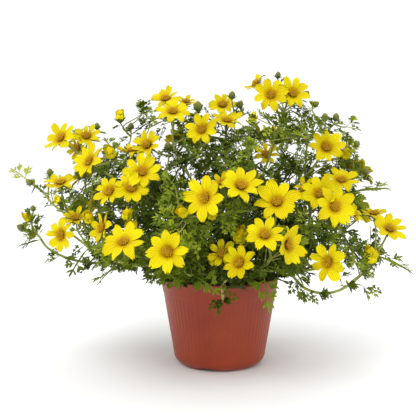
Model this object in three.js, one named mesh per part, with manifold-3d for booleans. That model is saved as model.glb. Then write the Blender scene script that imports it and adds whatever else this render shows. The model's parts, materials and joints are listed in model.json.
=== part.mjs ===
// A bidens in bloom in a plastic nursery pot: the pot, its soil, the leafy stems that stand in the soil, and
// the yellow flower heads on their stalks. Millimetres, +Z up, -Y towards the viewer of the front view.
// The origin is the centre of the pot's underside, on its middle foot.
import * as THREE from "three";
import { mergeVertices } from "three/addons/utils/BufferGeometryUtils.js";
import Module from "manifold-3d";

const wasm = await Module();
wasm.setup();

// Driving dimensions of the pot. Its wall is straight from the heel up, and the heel is rounded into the foot.
const POT_HEIGHT = 90;
const RIM_RADIUS = 60;
const RIM_BAND = 15;
const RIM_STEP = 0.5;
const WALL = 1.6;
const WALL_SLOPE = 0.168;
const HEEL_ROUND = 12;
const HEEL_RADIUS = 47;
const FOOT_RING = [32, 37];
const MIDDLE_FOOT_RADIUS = 9;
const FLOOR = [5, 6.6];
const FLUTES = 24;
const FLUTE_DEPTH = 0.6;
const INNER_SIDES = 24;
const ARCHES = 4;
const ARCH_HEIGHT = 4;
const ARCH_WIDTH = 24;
const ARCH_TURN = 252;
const DRAIN_HOLES = 6;
const DRAIN_RADIUS = 3.6;
const DRAIN_RING = 24;

// Soil: 12 mm below the rim at the wall, crowned in the middle, with a plain hole for each leafy stem.
const SOIL_TOP = 77;
const SOIL_CROWN = 4;
const SOIL_BUMP = 1.1;
const CLEAR = 0.35;
const HOLE_RADIUS = 2.5;
const HOLE_BOTTOM = 64;
const INNER_RING = 7.5;
const OUTER_RING = 19;

// Stems, leaves and flower heads.
const STEM_RADIUS = [1.75, 1.0];
const BRANCH_RADIUS = [1.4, 0.95];
const STALK_RADIUS = [0.95, 0.8];
const BUD_STALK_RADIUS = [0.84, 0.7];
const CUP_RADIUS = 2.5;
const CUP_DEPTH = 3.6;
const BUD_LENGTH = [0.65, 0.85];
const PATH_END = 0.94;
const NECK = 12;
const SHORTEST_STALK = 26;
const SHORT_STALK = 42;
const FORK_PARTS = [0.35, 0.65];
const RUN_COST = 0.42;
const TURN_COST = 60;
const SHORT_COST = 2;
const SIDE_COST = 8;
const SEAT = 0.3;
const KEEP_CLEAR = 0.55;
const SHORTEST_EDGE = 0.02;
const DISC_RADIUS = 4.4;
const DISC_DOME = 1.6;
const PETAL_THICKNESS = 1.2;
const PETAL_RISE = 0.8;
const PETAL_BEND = 0.58;
const PETAL_TIP = 0.5;
const LEAF_THICKNESS = 1.0;
const LEAF_SPACING = 26;
const LEAF_LENGTH = [46, 30];
const BACK_LEAF_LENGTH = [58, 40];
const LOWEST_LEAVES = 0.2;
const LEAF_LOBED = [0.3, 0.86];
const LEAF_REACH = [0.36, 0.07];

// The eye of the front view. A head that shows there is given by the pixel where its middle appears in a
// picture of 416 x 416, and by how many millimetres it stands behind the pot's axis.
const EYE = new THREE.Vector3(-11.8, -858.8, 241.4);
const EYE_DOWN = THREE.MathUtils.degToRad(5.5);
const EYE_FOCUS = 850;
const VIEW_MIDDLE = 208;

const MATERIALS = {
  pot: new THREE.MeshStandardMaterial({ color: 0x9a4a33, roughness: 0.5, metalness: 0 }),
  soil: new THREE.MeshStandardMaterial({ color: 0x2e2019, roughness: 0.95, metalness: 0 }),
  leaf: new THREE.MeshStandardMaterial({ color: 0x4d6b25, roughness: 0.6, metalness: 0 }),
  petal: new THREE.MeshStandardMaterial({ color: 0xf7dd10, roughness: 0.55, metalness: 0 }),
};

// The leafy stems that show in the front view. turn is where a stem stands in the soil, in degrees about the
// pot from the viewer's right, and ring how far out. It forks low down into its branches. via are the points
// that a branch passes, as [across, down, behind]. A head is [kind, across, down, behind, degrees turned
// right, degrees turned up, width in mm], and a branch ends in its first head.
const SEEN_STEMS = [
  { name: "left", turn: 180, ring: OUTER_RING, branches: [
    { via: [[148, 252, -16], [100, 264, -35], [55, 253, -35]], heads: [
      ["bud", 20, 227, -35, -60, 25, 6],
      ["opening", 28, 218, -30, -30, 50, 8],
      ["bud", 33, 208, -38, 0, 70, 5],
    ] },
    { via: [[105, 240, -30], [62, 212, -40]], heads: [
      ["bud", 29, 182, -45, -50, 35, 6],
      ["bloom", 61, 184, -50, -10, 62, 32],
      ["bud", 50, 172, -38, 0, 70, 6],
    ] },
  ] },
  { name: "front_left", turn: 218, ring: OUTER_RING, branches: [
    { via: [[170, 266, -66], [115, 262, -88]], heads: [
      ["bloom", 62, 235, -71, -30, 10, 34],
      ["bloom", 76, 219, -67, 10, 50, 26],
      ["bloom", 103, 228, -104, -45, 20, 30],
      ["opening", 89, 219, -92, -10, 40, 9],
    ] },
    { via: [[150, 258, -118]], heads: [
      ["bloom", 124, 243, -142, -15, 48, 40],
      ["opening", 131, 230, -120, 0, 60, 11],
      ["opening", 127, 216, -112, 10, 60, 9],
    ] },
  ] },
  { name: "front", turn: 262, ring: OUTER_RING, branches: [
    { via: [[222, 279, -66], [223, 300, -88], [222, 284, -100]], heads: [
      ["bloom", 222, 254, -112, 0, 25, 29],
      ["bloom", 240, 263, -127, -25, 20, 34],
      ["opening", 240, 238, -108, 10, 55, 12],
      ["opening", 213, 262, -100, -40, 50, 7],
    ] },
    { via: [[203, 272, -78], [190, 276, -112]], heads: [
      ["bloom", 168, 252, -150, -8, 14, 40],
    ] },
  ] },
  { name: "front_right", turn: 304, ring: OUTER_RING, branches: [
    { via: [[252, 268, -70], [270, 262, -112]], heads: [
      ["bloom", 286, 245, -139, 48, 8, 38],
      ["bloom", 265, 236, -147, -8, 36, 37],
      ["bloom", 277, 203, -128, -8, 30, 42],
    ] },
    { via: [[296, 272, -88]], heads: [
      ["bloom", 329, 262, -118, -38, 8, 38],
      ["tip", 305, 292, -104, 20, -40, 2],
    ] },
  ] },
  { name: "right", turn: 350, ring: OUTER_RING, branches: [
    { via: [[278, 264, -18], [312, 292, -48], [352, 284, -44]], heads: [
      ["bloom", 389, 230, -28, 12, 48, 38],
      ["bloom", 374, 215, -12, -20, 72, 29],
      ["opening", 370, 258, -42, 10, 70, 14],
      ["tip", 366, 288, -52, 40, -30, 2],
    ] },
    { via: [[277, 252, -6], [312, 232, -48]], heads: [
      ["bloom", 334, 207, -93, 12, 18, 40],
      ["bloom", 320, 195, -83, -12, 28, 38],
      ["bloom", 341, 181, -42, 5, 52, 37],
      ["bloom", 305, 189, -56, -35, 40, 28],
      ["bloom", 352, 213, -60, 45, 30, 26],
      ["bud", 366, 171, -20, 30, 50, 6],
    ] },
  ] },
  { name: "top_right", turn: 8, ring: INNER_RING, branches: [
    { via: [[244, 225, 6], [292, 190, -14]], heads: [
      ["bloom", 326, 148, -32, 5, 24, 38],
      ["bud", 325, 117, -8, -10, 60, 7],
      ["bud", 336, 117, 4, 10, 65, 7],
      ["bud", 357, 144, 0, 40, 50, 6],
      ["tip", 351, 122, 20, 30, 60, 2],
      ["opening", 345, 154, -14, 35, 40, 11],
      ["bud", 306, 139, -52, -10, 30, 7],
    ] },
    { via: [[272, 150, 18]], heads: [
      ["bloom", 292, 94, 1, 10, 20, 37],
      ["bloom", 271, 95, -5, -10, 15, 36],
      ["bloom", 257, 84, 18, -60, 40, 26],
      ["bud", 278, 75, 30, 10, 70, 6],
      ["bud", 306, 94, 22, 50, 40, 7],
      ["bud", 316, 104, 12, 60, 30, 6],
    ] },
  ] },
  { name: "top_left", turn: 112, ring: INNER_RING, branches: [
    { via: [[222, 215, 14], [226, 160, 30]], heads: [
      ["bloom", 223, 106, 31, -10, 42, 32],
      ["bloom", 227, 122, 9, 5, 62, 37],
      ["bloom", 266, 155, 84, 5, 30, 30],
      ["bud", 232, 95, 10, 10, 60, 7],
      ["bud", 240, 104, 20, 40, 50, 7],
    ] },
    { via: [[180, 165, 10]], heads: [
      ["bloom", 173, 113, -12, 0, 50, 37],
      ["bloom", 166, 100, 6, -15, 48, 33],
      ["bloom", 186, 103, 36, 20, 66, 26],
      ["bloom", 202, 130, -42, -12, 22, 35],
      ["bud", 198, 106, 4, 0, 60, 9],
      ["tip", 143, 108, 34, -40, 60, 2],
    ] },
  ] },
  { name: "middle", turn: 262, ring: INNER_RING, branches: [
    { via: [[221, 240, -30], [226, 215, -84]], heads: [
      ["bloom", 241, 187, -130, 5, 36, 38],
      ["bloom", 206, 198, -142, -32, 12, 42],
      ["bloom", 222, 184, -108, -20, 60, 27],
      ["opening", 183, 213, -134, -30, 30, 9],
      ["opening", 212, 215, -120, 0, 40, 9],
    ] },
  ] },
  { name: "upper_left", turn: 192, ring: INNER_RING, branches: [
    { via: [[192, 235, -14], [138, 196, -24]], heads: [
      ["bloom", 62, 139, -22, -34, 34, 36],
      ["bloom", 87, 137, 6, -4, 38, 31],
      ["bloom", 78, 148, 4, -30, 0, 27],
      ["bloom", 90, 162, -60, -38, 28, 36],
      ["bud", 97, 126, 20, 10, 70, 6],
      ["opening", 120, 117, -4, 0, 80, 9],
      ["bud", 131, 126, 8, 10, 80, 6],
    ] },
    { via: [[165, 212, -62]], heads: [
      ["bloom", 142, 173, -92, 5, 34, 38],
      ["bloom", 131, 189, -101, 8, 32, 35],
      ["bloom", 110, 192, -98, -20, 30, 32],
      ["bloom", 148, 146, -44, -22, 32, 32],
      ["bloom", 132, 152, -44, -5, 70, 28],
      ["opening", 111, 154, -58, -20, 50, 10],
      ["bud", 168, 146, -20, -10, 70, 7],
    ] },
  ] },
];

// The leafy stems of the back half, which the front view hides. Their heads stand on the same dome, given by
// [kind, degrees about the pot, mm out from its axis, mm up, width], and face outwards, the higher ones more
// upwards. These stems also have leafy branches without a flower, and longer leaves.
const BACK_STEMS = [
  { name: "back_right", turn: 44, ring: OUTER_RING, branches: [
    { via: [[40, 58, 110], [32, 120, 128]], heads: [
      ["bloom", 28, 176, 150, 38],
      ["bloom", 36, 172, 158, 36],
      ["bloom", 18, 158, 192, 36],
      ["bloom", 27, 156, 198, 34],
      ["tip", 6, 158, 116, 2],
    ] },
    { via: [[66, 100, 140]], heads: [
      ["bloom", 66, 172, 160, 40],
      ["bloom", 74, 170, 168, 38],
      ["bloom", 58, 128, 226, 36],
      ["bloom", 69, 127, 230, 34],
      ["opening", 70, 112, 248, 10],
      ["tip", 46, 142, 186, 2],
    ] },
    { via: [[78, 66, 104]], heads: [
      ["tip", 84, 146, 88, 2],
      ["tip", 62, 138, 98, 2],
    ] },
    { via: [[44, 56, 140]], heads: [
      ["tip", 48, 116, 150, 2],
    ] },
  ] },
  { name: "back_left", turn: 134, ring: OUTER_RING, branches: [
    { via: [[136, 58, 110], [148, 118, 126]], heads: [
      ["bloom", 150, 178, 146, 38],
      ["bloom", 142, 176, 154, 36],
      ["bloom", 160, 156, 188, 36],
      ["bloom", 151, 154, 194, 36],
      ["opening", 160, 184, 160, 10],
    ] },
    { via: [[108, 102, 136]], heads: [
      ["bloom", 104, 176, 148, 38],
      ["bloom", 112, 174, 156, 38],
      ["bloom", 100, 132, 222, 36],
      ["bloom", 111, 130, 226, 34],
      ["tip", 84, 128, 182, 2],
      ["tip", 130, 144, 184, 2],
    ] },
    { via: [[122, 66, 104]], heads: [
      ["tip", 112, 140, 88, 2],
      ["tip", 134, 142, 98, 2],
    ] },
    { via: [[152, 58, 138]], heads: [
      ["tip", 170, 128, 128, 2],
    ] },
  ] },
];

const up = new THREE.Vector3(0, 0, 1);
const radians = THREE.MathUtils.degToRad;
const vector = (x, y, z) => new THREE.Vector3(x, y, z);
const plus = (point, direction, share) => point.clone().addScaledVector(direction, share);

// A seeded draw from 0 to 1, the same for the same whole-number keys.
function draw(...keys) {
  let hash = 2166136261;
  for (const key of keys) {
    hash = Math.imul(hash ^ key, 16777619) >>> 0;
    hash = (hash ^ (hash >>> 15)) >>> 0;
    hash = Math.imul(hash, 2246822519) >>> 0;
    hash = (hash ^ (hash >>> 13)) >>> 0;
  }
  return hash / 4294967296;
}
const between = (low, high, ...keys) => low + (high - low) * draw(...keys);

// Where the sight line through a pixel of the front view is that far behind the pot's axis.
function seen(across, down, behind) {
  const right = across - VIEW_MIDDLE;
  const rise = VIEW_MIDDLE - down;
  const sight = vector(
    right,
    EYE_FOCUS * Math.cos(EYE_DOWN) + rise * Math.sin(EYE_DOWN),
    rise * Math.cos(EYE_DOWN) - EYE_FOCUS * Math.sin(EYE_DOWN),
  );
  return plus(EYE, sight, (behind - EYE.y) / sight.y);
}

// A point by its turn about the pot, how far out it is and how high.
function about(turn, out, height) {
  return vector(out * Math.cos(radians(turn)), out * Math.sin(radians(turn)), height);
}

// A point on the uniform Catmull-Rom curve through the points, at t from 0 to 1.
function pointOn(points, t) {
  return new THREE.CatmullRomCurve3(points, false, "catmullrom", 0.5).getPoint(t);
}

// The solid of a closed geometry, or of points and triangles, and its mesh again.
function solidOf(geometry) {
  const bare = geometry.clone();
  bare.deleteAttribute("normal");
  bare.deleteAttribute("uv");
  const merged = mergeVertices(bare, 1e-4);
  return new wasm.Manifold(new wasm.Mesh({
    numProp: 3,
    vertProperties: merged.attributes.position.array,
    triVerts: new Uint32Array(merged.index.array),
  }));
}

function solidFrom(points, faces) {
  return new wasm.Manifold(new wasm.Mesh({
    numProp: 3,
    vertProperties: new Float32Array(points.flatMap((p) => [p.x, p.y, p.z])),
    triVerts: new Uint32Array(faces.flat()),
  }));
}

// The mesh of a solid, without the slivers that a join leaves where edges nearly meet.
function meshOf(solid, name, material) {
  const { vertProperties, triVerts } = solid.simplify(SHORTEST_EDGE).getMesh();
  const joined = new THREE.BufferGeometry();
  joined.setAttribute("position", new THREE.BufferAttribute(new Float32Array(vertProperties), 3));
  joined.setIndex(new THREE.BufferAttribute(new Uint32Array(triVerts), 1));
  const geometry = mergeVertices(joined, SHORTEST_EDGE / 10);
  const corners = geometry.index.array;
  const kept = [];
  for (let i = 0; i < corners.length; i += 3) {
    const [a, b, c] = corners.slice(i, i + 3);
    if (a !== b && b !== c && c !== a) kept.push(a, b, c);
  }
  geometry.setIndex(kept);
  geometry.computeVertexNormals();
  const mesh = new THREE.Mesh(geometry, material);
  mesh.name = name;
  return mesh;
}

// A body of revolution about Z. reshape may move each point after the turning.
function turned(profile, segments, reshape) {
  const geometry = new THREE.LatheGeometry(profile.map(([r, z]) => new THREE.Vector2(r, z)), segments);
  geometry.rotateX(Math.PI / 2);
  const place = geometry.attributes.position;
  for (let i = 0; reshape && i < place.count; i++) {
    const moved = reshape(vector(place.getX(i), place.getY(i), place.getZ(i)));
    place.setXYZ(i, moved.x, moved.y, moved.z);
  }
  return solidOf(geometry);
}

// The pot
const wallRadius = (height) => HEEL_RADIUS + (height - HEEL_ROUND) * WALL_SLOPE;
const innerRadius = (height) => wallRadius(height) - WALL;

function heelArc(radius, low, high, steps) {
  const middle = HEEL_RADIUS - HEEL_ROUND;
  return Array.from({ length: steps + 1 }, (_, i) => {
    const angle = radians(low + ((high - low) * i) / steps);
    return [middle + radius * Math.cos(angle), HEEL_ROUND + radius * Math.sin(angle)];
  });
}

function makePot() {
  const bandFoot = POT_HEIGHT - RIM_BAND;
  const fluteFoot = HEEL_ROUND + 1.5;
  const fluteTop = bandFoot - 1.5;
  const outside = [
    [0, FLOOR[0]], [FOOT_RING[0] - 1, FLOOR[0]], [FOOT_RING[0], 0], [FOOT_RING[1], 0],
    ...heelArc(HEEL_ROUND, -68, 0, 3),
    [wallRadius(fluteFoot), fluteFoot], [wallRadius(fluteTop), fluteTop],
    [wallRadius(bandFoot) + RIM_STEP, bandFoot],
    [RIM_RADIUS, POT_HEIGHT - 1], [RIM_RADIUS - 0.6, POT_HEIGHT], [0, POT_HEIGHT],
  ];
  const inside = [
    [0, FLOOR[1]], ...heelArc(HEEL_ROUND - WALL, -31, 0, 1),
    [innerRadius(POT_HEIGHT + 1), POT_HEIGHT + 1], [0, POT_HEIGHT + 1],
  ];
  const flat = Math.cos(Math.PI / FLUTES);
  const fluted = turned(outside, FLUTES * 2, (p) => {
    const out = Math.hypot(p.x, p.y);
    const inBand = p.z > fluteFoot - 0.1 && p.z < fluteTop + 0.1;
    const isGroove = Math.round((Math.atan2(p.y, p.x) / Math.PI) * FLUTES) % 2 !== 0;
    if (out < 1 || !isGroove) return p;
    const share = inBand ? 1 - FLUTE_DEPTH / out : flat;
    return vector(p.x * share, p.y * share, p.z);
  }).simplify(0.002);
  const footHeight = FLOOR[0] + 0.5;
  const middleFoot = new THREE.CylinderGeometry(MIDDLE_FOOT_RADIUS + 1, MIDDLE_FOOT_RADIUS, footHeight, 12);
  middleFoot.rotateX(Math.PI / 2);
  middleFoot.translate(0, 0, footHeight / 2);
  const cuts = [turned(inside, INNER_SIDES)];
  const archRound = (ARCH_WIDTH ** 2 / 4 + ARCH_HEIGHT ** 2) / (2 * ARCH_HEIGHT);
  for (let i = 0; i < ARCHES; i++) {
    const arch = new THREE.CylinderGeometry(archRound, archRound, 24, 16);
    arch.rotateZ(Math.PI / 2);
    arch.translate(FOOT_RING[0] + 8, 0, ARCH_HEIGHT - archRound);
    arch.rotateZ(radians(ARCH_TURN + (360 / ARCHES) * i));
    cuts.push(solidOf(arch));
  }
  for (let i = 0; i < DRAIN_HOLES; i++) {
    const hole = new THREE.CylinderGeometry(DRAIN_RADIUS, DRAIN_RADIUS, 6, 6);
    hole.rotateX(Math.PI / 2);
    hole.translate(DRAIN_RING, 0, FLOOR[1]);
    hole.rotateZ(radians((360 / DRAIN_HOLES) * (i + 0.5)));
    cuts.push(solidOf(hole));
  }
  return fluted.add(solidOf(middleFoot)).subtract(wasm.Manifold.union(cuts));
}

// The soil
const soilHeight = (out) => SOIL_TOP + SOIL_CROWN * (1 - (out / innerRadius(SOIL_TOP)) ** 2);

function makeSoil(bases) {
  const edge = innerRadius(SOIL_TOP) - CLEAR;
  const rings = [edge, edge - 13, edge - 27, 13, 0];
  const profile = [
    [0, FLOOR[1] + CLEAR], ...heelArc(HEEL_ROUND - WALL - CLEAR, -28, 0, 1),
    ...rings.map((r) => [r, soilHeight(r)]),
  ];
  const body = turned(profile, INNER_SIDES, (p) => {
    const out = Math.hypot(p.x, p.y);
    if (p.z < SOIL_TOP - 1 || out < 1 || out > edge - 1) return p;
    const key = Math.round(p.x * 10) * 7919 + Math.round(p.y * 10);
    return p.setZ(p.z + between(-SOIL_BUMP, SOIL_BUMP, 5, key & 0xffffff));
  });
  const holes = bases.map((base) => {
    const length = SOIL_TOP + SOIL_CROWN + 4 - HOLE_BOTTOM;
    const hole = new THREE.CylinderGeometry(HOLE_RADIUS, HOLE_RADIUS, length, 6);
    hole.rotateX(Math.PI / 2);
    hole.translate(base.x, base.y, HOLE_BOTTOM + length / 2);
    return solidOf(hole);
  });
  return body.subtract(wasm.Manifold.union(holes));
}

// A closed tube through rings of [centre, radius]. A last radius of 0 makes a point.
function tube(rings, sides) {
  const points = [];
  const faces = [];
  let side = null;
  rings.forEach(([centre, radius], i) => {
    const before = rings[Math.max(0, i - 1)][0];
    const after = rings[Math.min(rings.length - 1, i + 1)][0];
    const along = after.clone().sub(before).normalize();
    side = side ?? (Math.abs(along.z) > 0.9 ? vector(1, 0, 0) : up).clone();
    side.addScaledVector(along, -side.dot(along)).normalize();
    const other = along.clone().cross(side);
    const corners = radius > 0 ? sides : 1;
    for (let k = 0; k < corners; k++) {
      const angle = (k / sides) * 2 * Math.PI;
      points.push(plus(plus(centre, side, radius * Math.cos(angle)), other, radius * Math.sin(angle)));
    }
  });
  const pointed = rings.at(-1)[1] === 0;
  const full = pointed ? rings.length - 1 : rings.length;
  for (let i = 0; i < full - 1; i++) {
    for (let k = 0; k < sides; k++) {
      const [a, b] = [i * sides + k, i * sides + ((k + 1) % sides)];
      faces.push([a, b, b + sides], [a, b + sides, a + sides]);
    }
  }
  const last = (full - 1) * sides;
  for (let k = 1; k < sides - 1; k++) faces.push([0, k + 1, k]);
  for (let k = 0; k < sides && pointed; k++) faces.push([last + k, last + ((k + 1) % sides), last + sides]);
  for (let k = 1; k < sides - 1 && !pointed; k++) faces.push([last, last + k, last + k + 1]);
  return solidFrom(points, faces);
}

// A flower head's frame: its middle, the way it faces, and two directions across it.
function headFrame(head) {
  const across = up.clone().cross(head.face);
  if (across.length() < 0.05) across.set(1, 0, 0);
  across.normalize();
  return { at: head.at, face: head.face, across, aloft: head.face.clone().cross(across) };
}

// A bloom: a domed disc with a ring of petals, each ridged along its middle, blunt at its tip and bent out.
// Its underside runs from one point on the cup straight out to the petals.
function makeBloom(head, spin) {
  const { at, face, across, aloft } = headFrame(head);
  const count = head.width < 31 ? 7 : 8;
  const cup = between(8, 30, head.key, 2);
  const place = (out, turn, height, aside = 0) => {
    const angle = radians(turn);
    const outward = plus(across.clone().multiplyScalar(Math.cos(angle)), aloft, Math.sin(angle));
    const sideways = plus(across.clone().multiplyScalar(-Math.sin(angle)), aloft, Math.cos(angle));
    return plus(plus(plus(at, outward, out), sideways, aside), face, SEAT + height);
  };
  const petals = Array.from({ length: count }, (_, k) => {
    const long = (head.width / 2 - DISC_RADIUS) * between(0.9, 1.06, head.key, 4, k);
    const lift = radians(cup + between(-9, 9, head.key, 6, k));
    const bend = lift + radians(between(-26, -4, head.key, 7, k));
    const [near, far] = [long * PETAL_BEND, long * (1 - PETAL_BEND)];
    const mid = DISC_RADIUS + near * Math.cos(lift);
    const rise = PETAL_RISE + near * Math.sin(lift);
    return {
      turn: spin + (k * 360) / count + between(-3, 3, head.key, 3, k),
      half: long * between(0.25, 0.31, head.key, 5, k),
      mid, rise, tip: mid + far * Math.cos(bend), tipRise: rise + far * Math.sin(bend),
    };
  });
  const rim = PETAL_THICKNESS + Math.max(...petals.map(({ mid, rise }) => (DISC_RADIUS * rise) / mid));
  const points = [place(0, 0, rim + DISC_DOME), place(0, 0, 0)];
  petals.forEach((_, k) => points.push(place(DISC_RADIUS, spin + ((k - 0.5) * 360) / count, rim)));
  const faces = [];
  petals.forEach(({ turn, half, mid, rise, tip, tipRise }, k) => {
    const left = points.length;
    const [right, leftTip, rightTip, ridge] = [left + 1, left + 2, left + 3, left + 4];
    const [leftRoot, rightRoot] = [2 + k, 2 + ((k + 1) % count)];
    points.push(
      place(mid, turn, rise, -half), place(mid, turn, rise, half),
      place(tip, turn, tipRise, -half * PETAL_TIP), place(tip, turn, tipRise, half * PETAL_TIP),
      place(mid, turn, rise + PETAL_THICKNESS),
    );
    const outline = [leftRoot, left, leftTip, rightTip, right, rightRoot];
    outline.forEach((corner, i) => faces.push([corner, outline[(i + 1) % outline.length], ridge]));
    faces.push([0, leftRoot, rightRoot], [1, left, leftRoot], [1, right, left], [1, rightRoot, right]);
    faces.push([left, right, rightTip], [left, rightTip, leftTip]);
  });
  return solidFrom(points, faces);
}

// A leaf cut to its rib: side lobes in pairs and one at the tip, on a rib that arches over.
function makeLeaf(leaf) {
  const { at, way, length, pairs, arch } = leaf;
  const flat = way.clone().cross(up);
  if (flat.length() < 0.1) flat.set(1, 0, 0);
  flat.normalize();
  const top = flat.clone().cross(way).normalize();
  const place = (share, aside, lift) => {
    const along = plus(at, way, share * length);
    const dropped = plus(along, up, -arch * length * share * share);
    return plus(plus(dropped, flat, aside), top, lift);
  };
  const half = LEAF_THICKNESS / 2;
  const points = [place(0, 0, 0.55), place(0, -0.5, -0.35), place(0, 0.5, -0.35)];
  const faces = [[0, 1, 2]];
  const [start, end] = LEAF_LOBED;
  const step = (end - start) / pairs;
  const ribs = Array.from({ length: pairs }, (_, i) => {
    const notch = start + step * i;
    const middle = notch + step / 2;
    const reach = length * (LEAF_REACH[0] - LEAF_REACH[1] * i);
    const ahead = middle + (0.75 * reach) / length;
    const first = points.length;
    points.push(
      place(notch, -0.75, 0), place(notch, 0.75, 0), place(middle, 0, half), place(middle, 0, -half),
      place(ahead, -reach, -0.1 * reach), place(ahead, reach, -0.1 * reach),
    );
    const [left, right, high, low, leftTip, rightTip] = [0, 1, 2, 3, 4, 5].map((k) => first + k);
    return { left, right, high, low, leftTip, rightTip };
  });
  const tip = points.length + 2;
  ribs.push({ left: tip - 2, right: tip - 1, high: tip, low: tip });
  points.push(place(end, -0.6, 0), place(end, 0.6, 0), place(1.12, 0, -0.3));
  ribs.slice(0, -1).forEach(({ left, right, high, low, leftTip, rightTip }, i) => {
    const next = ribs[i + 1];
    faces.push([left, high, leftTip], [high, next.left, leftTip]);
    faces.push([left, leftTip, low], [low, leftTip, next.left]);
    faces.push([right, rightTip, high], [high, rightTip, next.right]);
    faces.push([right, low, rightTip], [low, next.right, rightTip]);
    faces.push([high, next.right, next.high], [high, next.high, next.left]);
    faces.push([low, next.left, next.low], [low, next.low, next.right]);
  });
  const { left, right, high, low } = ribs[0];
  faces.push([0, right, high], [0, high, left], [0, 2, right], [0, left, 1]);
  faces.push([1, left, low], [2, low, right], [1, low, 2]);
  return solidFrom(points, faces);
}

// How far a bloom may turn on its cup to meet a neighbour, in degrees.
const TURNS = [0, 6, 12, 18, 24, 30, 36];

// Everything placed so far, so that what comes next can be bent clear of it.
const placed = [];

function remember(solid, owner, kind, key) {
  placed.push({ solid, owner, kind, key, box: solid.boundingBox() });
}

function isClear(solid, ignore) {
  const mine = solid.boundingBox();
  const reach = (box) => [0, 1, 2].every(
    (i) => box.min[i] < mine.max[i] + KEEP_CLEAR && box.max[i] > mine.min[i] - KEEP_CLEAR,
  );
  return !placed.some(
    (piece) => !ignore(piece) && reach(piece.box) && piece.solid.minGap(solid, KEEP_CLEAR * 1.5) < KEEP_CLEAR,
  );
}

// How far a shoot's middle may sway to pass clear of others, in mm to its side and upwards, in this order.
const SWAYS = [
  [0, 0], [6, 0], [-6, 0], [0, 6], [0, -6], [11, 4], [-11, 4], [0, 12], [16, 0], [-16, 0],
  [8, -8], [-8, -8], [14, 12], [-14, 12], [22, 4], [-22, 4], [0, 20], [26, 10], [-26, 10],
];

// The rings of a shoot: along its path, then its neck, and then the cup of a bloom or the body of a bud.
function shootRings({ foot = [], points, segments, radii }, head) {
  const along = Array.from({ length: segments }, (_, i) => (
    [pointOn(points, (PATH_END * i) / segments), THREE.MathUtils.lerp(...radii, i / segments)]
  ));
  const rings = [...foot.map((spot) => [spot, radii[0]]), ...along];
  const { kind, at, face, width } = head;
  const [neck, point] = [plus(at, face, -width * BUD_LENGTH[0]), plus(at, face, width * BUD_LENGTH[1])];
  if (kind === "tip") return [...rings, [at, 0]];
  if (kind === "bloom") return [...rings, [plus(at, face, -CUP_DEPTH), radii[1]], [at, CUP_RADIUS]];
  return [...rings, [neck, radii[1]], [at, width / 2], [point, 0]];
}

// A shoot from its parent to a head, swayed until it is clear of every other stem and every bloom. steady says
// how many of its points after the first don't sway.
function growShoot(stem, plan, head) {
  const { points, steady = 0, sides } = plan;
  const along = points.at(-1).clone().sub(points[steady]).normalize();
  const aside = along.clone().cross(up).normalize();
  const own = (piece) => piece.owner === stem.name && piece.kind === "shoot";
  const ignore = (piece) => piece.key === head.key || own(piece) || (plan.foot && piece.kind === "soil");
  for (const [side, rise] of SWAYS) {
    const sways = (i) => i > steady && i < points.length - 2;
    const swayed = points.map((p, i) => (sways(i) ? plus(plus(p, aside, side), up, rise) : p));
    const rings = shootRings({ ...plan, points: swayed }, head);
    const solid = tube(rings, sides);
    if (!isClear(solid, ignore)) continue;
    remember(solid, stem.name, "shoot", head.key);
    const path = rings.slice(0, head.kind === "bloom" ? -1 : rings.length).map(([centre]) => centre);
    return { solid, head, path, span: points[0].distanceTo(head.at) };
  }
  throw new Error(`no clear way for the ${head.kind} ${head.key} of ${stem.name}`);
}

// A place on a shoot, share of the way along its rings, and the way that the shoot runs there.
function spotOn({ path }, share) {
  const reach = share * (path.length - 1);
  const i = Math.min(Math.floor(reach), path.length - 2);
  const [here, next] = [path[i], path[i + 1]];
  return { at: here.clone().lerp(next, reach - i), along: next.clone().sub(here).normalize() };
}

// The first branch of a stem rises from its hole in the soil. Its path ends along the way that its head faces.
function growMain(stem) {
  const { x, y } = stem.base;
  const { via, heads: [head] } = stem.branches[0];
  const ground = soilHeight(Math.hypot(x, y)) + 2;
  const points = [
    vector(x, y, ground), vector(x, y, ground + 12).lerp(via[0], 0.12),
    ...via, plus(head.at, head.face, -NECK - 6), head.at,
  ];
  const foot = [vector(x, y, HOLE_BOTTOM + CLEAR)];
  const plan = { foot, points, steady: 1, segments: 5 + via.length, radii: STEM_RADIUS, sides: 4 };
  return { ...growShoot(stem, plan, head), from: 0, penalty: 0 };
}

// Where a shoot best leaves the shoots that are there: near its aim, low down, and without turning back. It
// leaves between two rings of the other, never at one.
function forkFor(aim, shoots, lowest, highest) {
  let best = null;
  for (const shoot of shoots) {
    const joints = shoot.path.length - 1;
    for (let i = 0; i < joints; i++) {
      for (const part of FORK_PARTS) {
        const share = (i + part) / joints;
        const { at, along } = spotOn(shoot, share);
        if (share < lowest || share > highest || at.z < POT_HEIGHT - 6) continue;
        const way = aim.clone().sub(at);
        const back = Math.max(0, way.angleTo(along) - radians(60));
        const run = shoot.from + share * shoot.span;
        const short = Math.max(0, SHORTEST_STALK - way.length());
        const cost = way.length() + RUN_COST * run + TURN_COST * back + SHORT_COST * short + shoot.penalty;
        if (!best || cost < best.cost) best = { cost, at, along, way, shoot, share, run };
      }
    }
  }
  return best;
}

// Each later branch of a stem forks off those before it and passes its own points.
function growBranch(stem, { via, heads: [head] }) {
  const { at, along, run, share, shoot } = forkFor(via[0], stem.shoots, 0.2, 0.5);
  const points = [at, plus(at, along, 9), ...via, plus(head.at, head.face, -NECK - 4), head.at];
  const plan = { points, steady: 1, segments: 4 + via.length, radii: BRANCH_RADIUS, sides: 3 };
  return { ...growShoot(stem, plan, head), from: run, penalty: 0, parent: { shoot, share } };
}

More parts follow.
